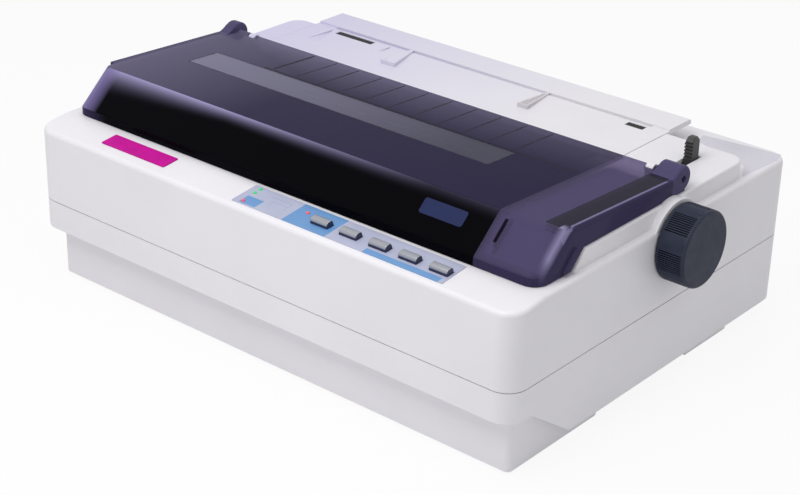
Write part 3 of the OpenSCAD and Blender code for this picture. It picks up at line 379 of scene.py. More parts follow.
class Nodes:
    """The node tree of a material or of the world, and the nodes that are put in it."""

    def __init__(self, owner, output):
        owner.use_nodes = True
        self.tree = owner.node_tree
        self.tree.nodes.clear()
        self.out = self.tree.nodes.new("ShaderNodeOutput" + output)

    def node(self, kind, settings=None, inputs=(), out=0):
        """A new node with its settings and inputs, as the wire from one of its outputs."""
        made = self.tree.nodes.new("ShaderNode" + kind)
        for key, value in (settings or {}).items():
            setattr(made, key, value)
        for key, value in inputs.items() if isinstance(inputs, dict) else enumerate(inputs):
            self.feed(made.inputs[key], value)
        return Wire(self, made.outputs[out])

    def feed(self, socket, value):
        """Gives a socket a wire or a fixed value."""
        if isinstance(value, Wire):
            self.tree.links.new(value.socket, socket)
        else:
            socket.default_value = value

    def show(self, surface):
        """Makes a wire the look of the material or the world."""
        self.feed(self.out.inputs[0], surface)


class Finish(Nodes):
    """A material: a Principled shader, and the nodes that vary it over the piece."""

    def __init__(self, name, rough=0.5, **fixed):
        self.material = bpy.data.materials.new(name)
        super().__init__(self.material, "Material")
        self.shader = self.tree.nodes.new("ShaderNodeBsdfPrincipled")
        self.own_look = Wire(self, self.shader.outputs[0])
        self.show(self.own_look)
        self.set(Roughness=rough, **fixed)
        self.place = self.node("TexCoord", out="Object")

    def set(self, **values):
        """Feeds inputs of the shader, named with lines for spaces."""
        for key, value in values.items():
            self.feed(self.shader.inputs[key.replace("_", " ")], value)

    def noise(self, size, detail=2.0, stretch=None):
        """Noise from 0 to 1 with grains of a size in mm, drawn out along an axis by stretch."""
        place = self.place
        if stretch:
            place = self.node("Mapping", None, {"Vector": place, "Scale": stretch})
        return self.node("TexNoise", None, {"Vector": place, "Scale": 1 / (size * MM), "Detail": detail})

    def along(self, axis):
        """The place along an axis, in metres."""
        return self.node("SeparateXYZ", None, (self.place,), axis)

    @cached_property
    def plan(self):
        """The places along X and Y, in mm from the case's left side and from its front."""
        return ((self.along("X") - CORNER.x) * (1 / MM), (self.along("Y") - CORNER.y) * (1 / MM))

    def band(self, wire, low, high):
        """One between two limits, and zero outside them."""
        return (wire > low) * (wire < high)

    def patch(self, across, back):
        """One over a rectangle of the plan, given by its ends, and zero round it."""
        x, y = self.plan
        return self.band(x, *across) * self.band(y, *back)

    def blend(self, factor, a, b):
        return self.node("Mix", {"data_type": "RGBA"}, {0: factor, 6: a, 7: b}, 2)

    def spread(self, wire, low, high, to_low=0.0, to_high=1.0):
        """Turns one range of values into another, and stops at its ends."""
        return self.node("MapRange", None, (wire, low, high, to_low, to_high))

    def mottle(self, size, a, b, detail=3):
        """From one value or colour to another and back, in clouds of a size in mm."""
        cloud = self.noise(size, detail)
        if isinstance(a, tuple):
            return self.blend(self.spread(cloud, 0.3, 0.7), a, b)
        return self.spread(cloud, 0.3, 0.7, a, b)

    def bump(self, height, depth):
        """A relief of the given depth in mm."""
        return self.node("Bump", None, {"Height": height, "Strength": 1.0, "Distance": depth * MM})


def moulded(name, colour, rough=0.42, grain=0.35, depth=0.012, fade=0.94, lilac_light=None, **fixed):
    """Moulded plastic with a fine spark-eroded grain and a faint unevenness of tone.

    The lilac tint given is painted light that the raised deck takes on towards its left end.
    """
    made = Finish(name, **fixed)
    base = made.mottle(60, paint(*[c * fade for c in colour]), paint(*colour))
    # painted light: a lilac tint over the raised deck towards its left end
    if lilac_light:
        raised = made.along("Z") > (DECK_Z - 3) * MM
        base = made.blend(made.spread(made.plan[0], 20, 290, 1.0, 0.0) * raised, base, paint(*lilac_light))
    made.set(Base_Color=base,
             Roughness=made.spread(made.noise(9, 3), 0.25, 0.75, rough - 0.05, rough + 0.06),
             Normal=made.bump(made.noise(grain), depth))
    return made.material


def steel(name, colour, rough, stretch, size=1.2, depth=0.004, **fixed):
    """Bare or plated metal with lines left by rolling, drawing or turning."""
    made = Finish(name, Metallic=1.0, **fixed)
    lines = made.noise(size, 4, stretch)
    made.set(Base_Color=made.mottle(25, paint(*[c * 0.86 for c in colour]), paint(*colour)),
             Roughness=made.spread(lines, 0.3, 0.7, rough - 0.08, rough + 0.1),
             Normal=made.bump(lines, depth))
    return made.material


def zinc_sheet():
    """Zinc-plated sheet, with the grey spangle that the bath leaves."""
    made = Finish("zinc_sheet", Metallic=1.0)
    cells = {"Vector": made.place, "Scale": 180.0}
    depth = made.node("TexVoronoi", None, cells, "Distance")
    tone = made.node("RGBToBW", None, (made.node("TexVoronoi", None, cells, "Color"),))
    made.set(Base_Color=made.blend(tone, paint(150, 152, 156), paint(186, 188, 192)),
             Roughness=made.spread(depth, 0.0, 0.8, 0.34, 0.5),
             Normal=made.bump(made.noise(3, 3), 0.01))
    return made.material


def rubber(name, colour, size=0.8, depth=0.02):
    """Ground rubber, matt, with a dusty bloom."""
    made = Finish(name)
    bloom = made.spread(made.noise(14, 4), 0.4, 0.8)
    made.set(Base_Color=made.blend(bloom, paint(*colour), paint(*[c + 14 for c in colour])),
             Roughness=made.mottle(5, 0.72, 0.9),
             Normal=made.bump(made.noise(size, 3), depth))
    return made.material


def circuit(name, colour, track):
    """A printed board: lacquer over tracks, with rows of soldered pads, and the dark interface socket."""
    made = Finish(name, Coat_Weight=0.3, Coat_Roughness=0.2)
    x, y = made.along("X"), made.along("Y")
    cell = made.node("TexVoronoi", {"distance": "CHEBYCHEV"}, {"Vector": made.place, "Scale": 160.0})
    tracks = made.band(cell, 0.30, 0.36)
    grid = [(wire * (1 / PAD_PITCH / MM)).sum("FRACT") for wire in (x, y)]
    off = [(wire - 0.5) * (wire - 0.5) for wire in grid]
    pads = (off[0] + off[1] < 0.07) * (made.noise(16, 1) > 0.55)
    base = made.blend(pads, made.blend(tracks, paint(*colour), paint(*track)), paint(196, 196, 190))
    corner = at(*SOCKET)
    socket = (made.along("Z") > corner.z) * (y > corner.y) * (x > corner.x)
    made.set(Base_Color=made.blend(socket, base, paint(58, 59, 66)),
             Metallic=pads * 0.9 * (1 - socket),
             Roughness=made.mottle(4, 0.3, 0.45),
             Normal=made.bump(tracks + pads, 0.03))
    return made.material


def see_through(made, tint, body, haze, rough):
    """Makes a finish tinted clear plastic, with a haze of its own colour."""
    made.set(Base_Color=body, Roughness=made.mottle(30, rough, rough + 0.06),
             Normal=made.bump(made.noise(0.5), 0.002))
    clear = made.node("BsdfTransparent", None, (tint,))
    made.show(made.node("MixShader", None, (haze, clear, made.own_look)))
    return made.material


def smoked_plastic():
    """The lid's smoke: pale behind and at its left end, partly painted reflection; thick in its walls;
    painted shade down the slope.
    """
    made = Finish("smoked_plastic", Specular_IOR_Level=0.02, Coat_Roughness=0.06)
    x, y = made.plan
    bay_end = 373
    slope, beside_bay = y < CREASE[0] + 0.1, x > bay_end
    level, over_bay = 1 - slope, 1 - beside_bay
    # the flat top: paler towards the back and the left as painted reflection, with lines where the ribs stand
    behind = made.spread(y, 140, LID_REAR, 0.1, 1.0) * made.spread(x, 60, 400, 0.85, 0.2)
    pale_reflection = either(made.spread(x, 20, 160, 0.68, 0.0), behind) * level
    ribs = made.patch((RIB_X - 1, 320), (145, 189)) * ((x - RIB_X).sum("MODULO", RIB_STEP) < 1.3)
    lines = either(ribs, made.patch((90, bay_end), (141.6, 143.4)))
    # a painted highlight along the lid's rear edge
    rear_edge_highlight = made.spread(y, 191, 197)
    # painted shade over the well beside the housing
    well = made.patch((403.6, LID_X1 - 3.6), (61.5, 178.8))
    # the slope: a painted highlight below the crease, wider at the left, then painted shade down to the lip
    fade = made.spread(y, made.spread(x, 16, 140, 40.0, 49.0), 57)
    glow = fade * fade * fade * made.spread(x, 120, 320, 1.0, 0.1)
    slope_highlight_and_shade = made.blend(glow, paint(6, 5, 8), paint(150, 143, 182))
    left = slope * made.spread(x, 14, 30, 1.0, 0.0)
    # painted shadow of the slit in the case below the slope
    slit_shade = made.patch((379.7, 382.3), (41.5, 54))
    lip = slope * (made.along("Z") < (LIP_Z - 0.3) * MM)
    lip_colour = made.blend(made.spread(x, 16, 40) * over_bay, paint(58, 52, 82), paint(8, 7, 12))
    # the walls, a painted highlight along the bead on the right one, a painted highlight down the front right
    # corner, and the lobes
    side = either(x < LID_X0 + 2.6, x > LID_X1 - 2.6)
    ridge_highlight = made.patch((419.4, 421.0), (CREASE[0] - 0.3, 172))
    off = y - (made.along("Z") - LIP_Z * MM) * ((CREASE[0] - LID_FRONT) / (CREASE[1] - LIP_Z) / MM)
    corner = (x > 415) * made.spread(off, 32.5, 36) * made.spread(off, 37, 42, 1.0, 0.0)
    corner = corner * made.spread(y, 36, 46)
    lobe = (y > 177) * either(x < LEFT_LOBE[1] + 0.5, x > RIGHT_LOBE[0] - 0.5)
    body, haze = paint(25, 18, 58), 0.8
    for share, colour, density in (
            (pale_reflection, paint(118, 112, 142), 0.75),
            (lines, paint(26, 22, 38), 0.85),
            (beside_bay, paint(102, 95, 130), 0.4),
            (rear_edge_highlight, paint(150, 144, 178), 0.8),
            (well, paint(40, 38, 54), 0.84),
            (slope * over_bay, slope_highlight_and_shade, 1.0),
            (left, paint(140, 128, 182), 0.7),
            (slit_shade, paint(14, 11, 20), 0.85),
            (lip, lip_colour, 0.9),
            (side, paint(70, 64, 96), 0.8),
            (ridge_highlight, paint(128, 120, 158), 0.8),
            (corner, paint(150, 143, 182), 0.85),
            (lobe, paint(86, 80, 115), 0.86)):
        body = made.blend(share, body, colour)
        haze = made.spread(share, 0.0, 1.0, haze, density)
    return see_through(made, (0.60, 0.555, 0.70, 1), body, haze, 0.1)


def pane_plastic():
    """The window's clearer plastic, darker to the right as painted reflection, and inside the line of glue
    round it.
    """
    made = Finish("pane_plastic", Specular_IOR_Level=0.1)
    inside = made.patch(grown(PANE_X, -1), (111.4, 140.1))
    # painted reflection: paler at the pane's left, darker to its right
    body = made.blend(made.spread(made.plan[0], 40, 290), paint(128, 124, 154), paint(52, 50, 76))
    body = made.blend(inside, paint(26, 20, 40), body)
    return see_through(made, (0.80, 0.77, 0.86, 1), body, 0.7, 0.08)


def knob_finish():
    """The knob's slate plastic: black in its grooves as painted shade, and shinier on its face."""
    made = Finish("knob_plastic", Specular_IOR_Level=0.08, Coat_Roughness=0.35)
    middle = at(KNOB_X[1] - 2.7, *PLATEN)
    face = made.along("X") > middle.x
    slate = made.mottle(12, paint(46, 51, 66), paint(51, 56, 72))
    across, up = made.along("Y") - middle.y, made.along("Z") - middle.z
    away = (across * across + up * up).sum("SQRT")
    # painted shade: near black in the grooves, where shade falls
    groove = made.band(away, (KNOB_R - 2) * MM, (KNOB_R - 0.5) * MM) * (1 - face)
    made.set(Base_Color=made.blend(groove, slate, paint(10, 11, 16)), Coat_Weight=face * 0.12,
             Roughness=made.mottle(5, 0.46, 0.58),
             Normal=made.bump(made.noise(0.5), 0.02))
    return made.material


def keep_finish(finish, *nodes):
    """Gives CAD nodes that keep their own mesh a finish."""
    for name in nodes:
        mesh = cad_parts[name].data
        mesh.materials.clear()
        mesh.materials.append(finish)


case_plastic = moulded("case_plastic", (233, 231, 236), fade=0.985, lilac_light=(208, 204, 232))
cover_plastic = moulded("cover_plastic", (233, 231, 236), rough=0.46, fade=0.985, lilac_light=(208, 204, 230))
smoked = smoked_plastic()
clear_pane = pane_plastic()
smoked_rib = moulded("rib_plastic", (12, 10, 18), rough=0.5, Specular_IOR_Level=0.1)
smoked_sheet = see_through(Finish("rib_base_plastic"), (0.72, 0.68, 0.8, 1), paint(150, 140, 182), 0.6, 0.2)
knob_plastic = knob_finish()
charcoal = moulded("charcoal_plastic", (56, 56, 54), rough=0.5)
black_plastic = moulded("black_plastic", (20, 20, 22), rough=0.5, Specular_IOR_Level=0.2)
grey_plastic = moulded("stop_plastic", (218, 214, 219), rough=0.45)
gear_plastic = moulded("gear_plastic", (226, 220, 204), rough=0.4, grain=0.8)
key_cap = moulded("key_cap", (158, 160, 168), rough=0.3, grain=0.3, depth=0.006, Metallic=0.35)
key_skirt = moulded("key_skirt", (38, 44, 78), rough=0.4)


# ---------------- shells

def rear_corners(y):
    """A test for the upright edges behind a place along Y."""
    return lambda edge: upright(edge) and within(edge, y=(y, 1000))


def over_plan(name, inset, z, steps=10):
    """A block over the case's plan, moved in by an amount, with the case's round corners."""
    form = block(name, grown((0, CASE_W), -inset), grown((0, CASE_D), -inset), z)
    round_edges(form, CASE_R - inset, steps, upright)
    return form


def over_skirt(name, inset, front, steps):
    """A block below the flange, moved in by an amount, with its front cut to the skirt's slant."""
    form = block(name, grown((0, CASE_W), -inset), (front, CASE_D - inset), (SKIRT_Z + inset, FLANGE_Z + 10))
    round_edges(form, CASE_R - inset, steps, rear_corners(CASE_D - inset))
    slant = Vector((0, SKIRT_Z - FLANGE_Z, SKIRT_Y[0] - SKIRT_Y[1])).normalized()
    slice_off(form, at(0, SKIRT_Y[0], FLANGE_Z) - slant * inset * MM, slant)
    return form


def under_lid(name, x, off, back, low=LEDGE_Z - WALL):
    """A block that follows the lid from below at a distance."""
    part = block(name, x, (LID_FRONT + off / math.sin(SLOPE.tilt), back), (low, ABOVE))
    slice_to(part, SLOPE, -off)
    slice_to(part, TOP, -off)
    return part


def strip_holes(depth):
    """What is cut from the strip, or from its film, for the keys and the lamps."""
    keys = [block("key_hole", grown((x, x + KEY_W), KEY_GAP), grown(KEY_Y, KEY_GAP), (-depth, 3), STRIP)
            for x in KEY_X]
    return keys + [rod("lamp_hole", "Z", (-depth, 3), place, LAMP_R, 24, STRIP) for place in LAMPS]


def make_upper_shell():
    shell = over_plan("upper_shell", 0, (JOINT_Z + JOINT_GAP, LEDGE_Z))
    slice_to(shell, STRIP)
    round_edges(shell, 3.2, 5, rim)
    add(shell, over_plan("joint_lip", JOINT_D, (JOINT_Z, JOINT_Z + 3)))
    deck = block("deck", (LEDGE_W, CASE_W - LEDGE_W), (DECK_Y0, DECK_Y1), (112, DECK_Z))
    slice_off(deck, at(0, RISE_Y + 0.8, LID_FOOT), RISE)
    round_edges(deck, 12, 8, rear_corners(DECK_Y1))
    round_edges(deck, 1.4, 3, rim)
    boss = rod("boss", "X", (CASE_W - 8, CASE_W - 0.4), PLATEN, KNOB_R + 1.6, 96)
    round_edges(boss, 0.5, 2, lambda edge: within(edge, x=(CASE_W - 0.5, CASE_W)))
    add(shell, deck, boss)
    inside = over_plan("inside", WALL, (60, LEDGE_Z - WALL), 8)
    slice_to(inside, STRIP, -WALL)
    under_deck = block("under_deck", (LEDGE_W + WALL, CASE_W - LEDGE_W - WALL), (79, DECK_Y1 - WALL),
                       (110, DECK_Z - WALL))
    round_edges(under_deck, 9, 6, rear_corners(DECK_Y1 - WALL))
    cut(shell, inside, under_deck)
    add_housing(shell)
    cut_upper_openings(shell)
    round_edges(shell, 0.7, 2, lambda edge: sharp(edge) and within(edge, z=(DECK_Z, DECK_Z)))
    smooth(shell)
    dress(shell, "chassis", "case", case_plastic, "upper_case")


def add_housing(shell):
    """The housing beside the bay, the front of its well, and the ears of the hinge."""
    housing = under_lid("housing", HOUSING_X, UNDER_LID, HOUSING_Y1)
    round_edges(housing, 1.0, 2, lambda edge: sharp(edge) and within(edge, z=(124, 200)))
    add(shell, housing, under_lid("well_front", (HOUSING_X[1] - 1, WELL_X[1]), UNDER_LID, WELL_Y0))
    for x in both(EAR_X):
        ear = block("ear", x, grown((HINGE[0], HINGE[0]), EAR_R), (DECK_Z - 1, HINGE[1]))
        add(ear, rod("ear_top", "X", x, HINGE, EAR_R, 40))
        add(shell, ear)


def cut_upper_openings(shell):
    """The insides of housing and well, the bay, the cover's place, and every slot and hole."""
    under_ledge, over_deck = LEDGE_Z - 6, DECK_Z + 1
    guide = grown(GUIDE_X, COVER_GAP)
    cut(shell,
        under_lid("housing_inside", grown(HOUSING_X, -2.5), UNDER_LID + 2.5, HOUSING_Y1 - 2.5, under_ledge),
        block("well", WELL_X, (WELL_Y0, HOUSING_Y1), (under_ledge, ABOVE)),
        block("bay", (22, BAY_X1), (36, 178), (under_ledge, over_deck)),
        block("bay_rear", (39, BAY_X1), (177, 204), (under_ledge, over_deck)),
        block("guide_place", guide, (203, DECK_Y1 + 1), (LEDGE_Z, over_deck)),
        block("guide_well", guide, (203, DECK_Y1 - 3), (under_ledge, over_deck)),
        block("lever_slot", grown(LEVER_X, 0.8), (228, 249), (DECK_Z - 4, over_deck)),
        block("gap_slot", (379.4, 382.6), (41, 61.4), (127.8, ABOVE)),
        rod("shaft_hole", "X", (CASE_W - 12, CASE_W + 1), PLATEN, 6),
        *strip_holes(9),
        *[rod("pin_hole", "X", grown(x, 1), HINGE, PIN_R, 32) for x in both(EAR_X)])


def make_lower_shell():
    shell = over_plan("lower_shell", 0, (FLANGE_Z, JOINT_Z - JOINT_GAP))
    add(shell, over_plan("joint_lip", JOINT_D, (JOINT_Z - 3, JOINT_Z)))
    base = over_skirt("base", 0, SKIRT_Y[0], 10)
    plinth = block("plinth", PLINTH_X, PLINTH_Y, (PLINTH_Z, FLANGE_Z + 3))
    round_edges(plinth, 4, 6, upright)
    add(shell, base, plinth, *[block("foot_block", x, FOOT_Y, (PLINTH_Z, FOOT_Z)) for x in both(FOOT_X)])
    round_edges(shell, 0.8, 2, lambda edge: sharp(edge) and not upright(edge)
                and (within(edge, z=(PLINTH_Z - 0.2, PLINTH_Z + 0.1))
                     or within(edge, z=(FLANGE_Z, FLANGE_Z), y=(-1, SKIRT_Y[0] - 1))))
    inside = over_plan("inside", WALL, (FLANGE_Z + WALL, JOINT_Z + 1), 8)
    low = over_skirt("low", WALL, SKIRT_Y[0] + 1, 8)
    floor = PLINTH_Z + WALL
    hollow = block("plinth_inside", grown(PLINTH_X, -WALL), grown(PLINTH_Y, -WALL), (floor, FLANGE_Z + 10))
    round_edges(hollow, 3, 4, upright)
    cut(shell, inside, low, hollow,
        *[block("foot_inside", grown(x, -WALL), grown(FOOT_Y, -WALL), (floor, FOOT_Z + 1))
          for x in both(FOOT_X)],
        *[rod("foot_seat", "Z", (0, 3), place, 8.1) for place in FEET],
        *[block("rear_opening", grown(x, REAR_GAP), (CASE_D - 4, CASE_D + 1), grown(z, REAR_GAP))
          for x, z in REAR_PARTS],
        *[block("vent", (200 + VENT_STEP * i, 206 + VENT_STEP * i), (150, 190), (SKIRT_Z - 1, SKIRT_Z + 4))
          for i in range(VENTS)])
    smooth(shell)
    dress(shell, "chassis", "case", case_plastic, "lower_case")


def make_well_shade_liner():
    """The black tray that lines the well beside the housing, a dark sheet put there as painted shade."""
    x, y = grown(WELL_X, -0.1), grown((WELL_Y0, HOUSING_Y1), -0.2)
    tray = block("well_shade_liner", x, y, (112, 142.5))
    slice_to(tray, SLOPE, -8)
    slice_to(tray, TOP, -8)
    cut(tray, block("hollow", grown(x, -0.8), grown(y, -0.8), (112.8, 160)),
        block("rim", (415, 418), (61, 180), (DECK_Z - 0.4, 160)))
    smooth(tray, 0.15)
    dress(tray, "chassis", "black_plastic", black_plastic)


make_upper_shell()
make_lower_shell()
make_well_shade_liner()


# ---------------- lid

def front_corner(edge):
    """Whether an edge of the lid lies between a side and its front wall or slope."""
    a, b = (vert.co for vert in edge.verts)
    return (sharp(edge) and abs(edge.calc_face_angle() - math.pi / 2) < 0.1
            and abs((a - b).normalized().x) < 0.01
            and all(abs(face.normal.y) < 0.1 or face.normal.y < -0.5 for face in edge.link_faces)
            and within(edge, y=(-1, 70)))


def top_rim(edge):
    """Whether an edge of the lid lies between its top and another face, other than the rear one."""
    rises = [face.normal.z for face in edge.link_faces]
    return (len(rises) == 2 and max(rises) > 0.95 and min(rises) < 0.5
            and not within(edge, y=(LID_REAR, 400))
            and all(face.normal.y < 0.5 for face in edge.link_faces))


def crease(edge):
    """Whether an edge runs across the lid between two of its front faces or its top."""
    a, b = (vert.co for vert in edge.verts)
    return len(edge.link_faces) == 2 and 0.5 < edge.calc_face_angle() < 1.1 and abs(a.x - b.x) > 0.3


def lid_form(name, inset, side_r, rim_r):
    """The lid's closed form, moved in by an amount."""
    form = block(name, grown((LID_X0, LID_X1), -inset), (LID_FRONT + inset, LID_REAR + inset),
                 (LID_FOOT - inset, ABOVE))
    slice_to(form, SLOPE, -inset)
    slice_to(form, TOP, -inset)
    round_edges(form, side_r, 6, front_corner)
    round_edges(form, rim_r, 5, top_rim)
    round_edges(form, 0.9, 3, crease)
    return form


def make_lid():
    lid = lid_form("lid_shell", 0, 11, 3.6)
    cut(lid, lid_form("lid_inside", LID_T, 8.5, 1.6))
    under = block("under", (0, CASE_W), (60, 200), (100, LID_SKIRT))
    slice_off(under, at(0, RISE_Y, LID_FOOT), RISE)
    cut(lid, under)
    add(lid, *hinge_lobe(LEFT_LOBE, LID_X0, LID_X0 + LOBE_SPAN))
    add(lid, *hinge_lobe(RIGHT_LOBE, LID_X1, LID_X1 - LOBE_SPAN))
    for x in both((LID_X1 - 4, LID_X1)):
        bead = block("bead", x, (9, 118), (-2, 0.8), TOP)
        round_edges(bead, 1.8, 5, lambda edge: runs_along(edge, TOP.up) and within(edge, z=(145, 200)))
        add(lid, bead)
    for x in both((LID_X1 - 1.2, LID_X1 + 2.5)):
        tab = block("tab", x, (56, 69), (123.5, 138))
        slice_off(tab, at(0, 61.4, 123.5), (0, 8.6, -8.7))
        slice_off(tab, at(0, 55.4, 124.4), (0, -15.5, 5.5))
        round_edges(tab, 1.0, 3, sharp)
        add(lid, tab)
    cut(lid, *[rod("pin_hole", "X", grown(x, 1), HINGE, PIN_R + 0.05, 32)
               for x in both((LID_X1 - LOBE_SPAN, LID_X1))],
        *[block("ear_room", x, (185.4, 200), (LID_SKIRT - 1, 153)) for x in both(grown(EAR_X, 0.4))],
        block("window_through", grown(PANE_X, -1.5), grown(PANE_Y, -1.5), (-9, 1), TOP),
        block("window_seat", PANE_X, PANE_Y, (-PANE_T, 1), TOP))
    smooth(lid)
    dress(lid, "lid", "smoke", smoked, "lid")


def hinge_lobe(x, outer, inner):
    """The round lobe at a rear corner, the ramp before it, and the barrel that runs inwards."""
    lobe = rod("lobe", "X", x, HINGE, LOBE_R, 64)
    round_edges(lobe, 2.2, 5, lambda edge: within(edge, x=(outer, outer)))
    round_edges(lobe, 1.2, 3, lambda edge: sharp(edge) and not within(edge, x=grown((outer, outer), 3)))
    ramp = block("ramp", x, (171.9, 184.4), (142, 151))
    cut(ramp, rod("sweep", "X", grown(x, 1), (172.84, 164), 17.9, 128))
    round_edges(ramp, 1.6, 4, lambda edge: within(edge, x=(outer, outer), z=(144, 160))
                and any(face.normal.z > 0.5 for face in edge.link_faces))
    span = sorted((outer, inner))
    return lobe, ramp, rod("barrel", "X", grown(span, -1), HINGE, 3.4, 40)


def make_window():
    pane = block("lid_pane", grown(PANE_X, -0.1), grown(PANE_Y, -0.1), (0.05 - PANE_T, 0), TOP)
    smooth(pane, 0.3)
    dress(pane, "lid", "clear", clear_pane, "lid_window")


def make_ribs():
    """The ribs behind the window that guide the paper, and their clips, on a base strip."""
    base = block("rib_base", (85, 329), RIB_ENDS, (-3.9, -2.75), TOP)
    rib = block("rib", (RIB_X, RIB_X + 1.4), RIB_ENDS, (-5.9, -2.6), TOP)
    round_edges(rib, 0.4, 2, sharp)
    clip = block("clip", (RIB_X + 9.5, RIB_X + 12.5), (113, 115.5), (-4.6, -2.6), TOP)
    round_edges(clip, 0.4, 2, sharp)
    more = [another(part, "rib", (RIB_STEP * i, 0, 0)) for part in (rib, clip) for i in range(1, RIBS)]
    ribs = gather("ribs", [rib, clip] + more)
    base.data.materials.append(smoked_sheet)
    ribs.data.materials.append(smoked_rib)
    strip = gather("lid_rib_set", [base, ribs])
    smooth(strip)
    dress(strip, "lid", "smoke", None, "lid_ribs")


make_lid()
make_window()
make_ribs()


# ---------------- knob and keys

# the flats round the knob's side, and the degrees from one group of grooves to the next
KNOB_SIDES, KNOB_GROUP = 216, 60


def in_groove(face):
    """Whether a face of the knob's side becomes a groove: six groups of ten, with plain bands between."""
    if not within(face, x=(KNOB_X[0] + 1.5, KNOB_X[1] - 1.9)) or abs(face.normal.x) > 0.1:
        return False
    turn = (math.degrees(math.atan2(face.normal.z, face.normal.y)) + 8) % KNOB_GROUP
    step = int(turn * KNOB_SIDES / 360)
    return step < 20 and step % 2 == 0


def knob_marks():
    """A raised mark on each plain band of the knob, wider towards its face."""
    (back, front), (y, z) = (KNOB_X[1] - 9.5, KNOB_X[1] - 2.2), PLATEN
    mark = wedge("mark", [(back, y - 0.3), (front, y - 2), (front, y + 2), (back, y + 0.3)],
                 [z + KNOB_R - 1] * 4, [z + KNOB_R + rise for rise in (-0.2, 0.3, 0.3, -0.2)])
    out = Matrix.Translation(at(0, *PLATEN))
    spins = [Matrix.Rotation(math.radians(turn + 9.5), 4, "X") for turn in range(0, 360, KNOB_GROUP)]
    marks = [another(mark, "mark", turn=out @ spin @ out.inverted()) for spin in spins]
    bpy.data.objects.remove(mark)
    return marks


def make_knob():
    knob = rod("knob", "X", KNOB_X, PLATEN, KNOB_R, KNOB_SIDES)
    round_edges(knob, 2, 5, lambda edge: within(edge, x=(KNOB_X[1], 500)))
    round_edges(knob, 0.6, 2, lambda edge: within(edge, x=(0, KNOB_X[0])) and sharp(edge))
    with Editing(knob):
        bpy.ops.mesh.select_all(action="SELECT")
        bpy.ops.mesh.bisect(plane_co=at(KNOB_X[0] + 2, 0, 0), plane_no=(1, 0, 0))
        pick("FACE", in_groove)
        bpy.ops.mesh.inset(thickness=0.03 * MM, depth=-1.2 * MM, use_individual=True)
    knob = gather("knob", [knob, *knob_marks()])
    smooth(knob, angle=30)
    dress(knob, "platen", "slate_plastic", knob_plastic, "platen_knob")


def make_keys():
    key = block("key", (KEY_X[0], KEY_X[0] + KEY_W), KEY_Y, (-3.2, 4.5), STRIP)
    raised = STRIP.at(0, 0, 4.4)
    round_edges(key, 2.3, 6, lambda edge: runs_along(edge, Vector((1, 0, 0)))
                and all((vert.co - raised).dot(STRIP.out) > 0 for vert in edge.verts))
    round_edges(key, 0.5, 2, lambda edge: sharp(edge) and within(edge, z=(119, 200)))
    smooth(key)
    key.data.materials.append(key_skirt)
    key.data.materials.append(key_cap)
    for side in key.data.polygons:
        raised_by = (side.center - STRIP.at(0, 0, 0)).dot(STRIP.out) / MM
        side.material_index = int(raised_by > 2.3 and abs(side.normal.x) < 0.8)
    for i, x in enumerate(KEY_X):
        name, button = "key_%d" % (i + 1), "button_%d" % (i + 1)
        piece = another(key, name, (x - KEY_X[0], 0, 0)) if i else key
        piece.name = piece.data.name = name
        dress(piece, button, "key", None, button)


make_knob()
make_keys()


# ---------------- paper cover and its stops

def make_cover():
    """The flat cover behind the lid: its plate, raised rear band, hinge barrel and two end walls."""
    cover = block("paper_cover", GUIDE_X, GUIDE_Y, (DECK_Z - 2.5, DECK_Z))
    hinge = (GUIDE_Y[0], DECK_Z - 1.25)
    band = block("band", grown(GUIDE_X, -0.15), (RAIL_Y + 2, GUIDE_Y[1]), (DECK_Z - 1, DECK_Z + 1.2))
    slice_off(band, at(0, GUIDE_Y[1], DECK_Z), (0, 1, 1))
    add(cover, rod("barrel", "X", GUIDE_X, hinge, 1.25, 24), band)
    for x in (GUIDE_X[0], GUIDE_X[1] - 2.5):
        end = block("end", (x + 0.1, x + 2.4), (DECK_Y1 + 0.3, 307), (LEDGE_Z + 0.3, DECK_Z - 0.05))
        slice_off(end, at(0, 307, LEDGE_Z + 0.3), (0, 12.15, 7))
        add(cover, end)
    for x in (GUIDE_X[0] - 3.5, GUIDE_X[1]):
        add(cover, rod("trunnion", "X", (x - 0.01, x + 3.51), hinge, 0.9, 24))
    through = (DECK_Z - 4, DECK_Z + 6)
    cut(cover, *[block("slot", x, SLOT_Y, through) for x in SLOTS_X],
        block("rail_slot", (46, 345), (RAIL_Y + 1.3, RAIL_Y + 2), through),
        block("rail_groove", (46, 345), (RAIL_Y, RAIL_Y + 2), (DECK_Z - 1.3, through[1])),
        wedge("left_ramp", [(44, 236), (57, 237), (46, 267)], [134, 132, 132.4], [through[1]] * 3),
        wedge("second_ramp", [(104, 253), (109, 255), (105, 269)], [134, 132.2, 132.6], [through[1]] * 3))
    smooth(cover, 0.3, 2, 50)
    dress(cover, "paper_guide", "guide_plastic", cover_plastic, "paper_guide")


def make_under_cover():
    """The black backs of the cover's slots, put there as painted shade, and the case's sills under its ends.
    """
    painted_slot_shade = gather("slot_shade_plates", [block("slot_shade_plate", grown(x, -0.05), grown(SLOT_Y, -0.05),
                                        (DECK_Z - 2.45, DECK_Z - 0.5)) for x in SLOTS_X])
    smooth(painted_slot_shade, 0.1)
    dress(painted_slot_shade, "paper_guide", "black_plastic", black_plastic)
    sills_x = (GUIDE_X[0] - 1, GUIDE_X[0] + 3), (GUIDE_X[1] - 3, GUIDE_X[1] + 1)
    sills = gather("guide_sills", [block("sill", x, (GUIDE_Y[0] + 4, DECK_Y1 - 4), (DECK_Z - 8, DECK_Z - 2.8))
                                   for x in sills_x])
    smooth(sills, 0.2)
    dress(sills, "chassis", "case", case_plastic)


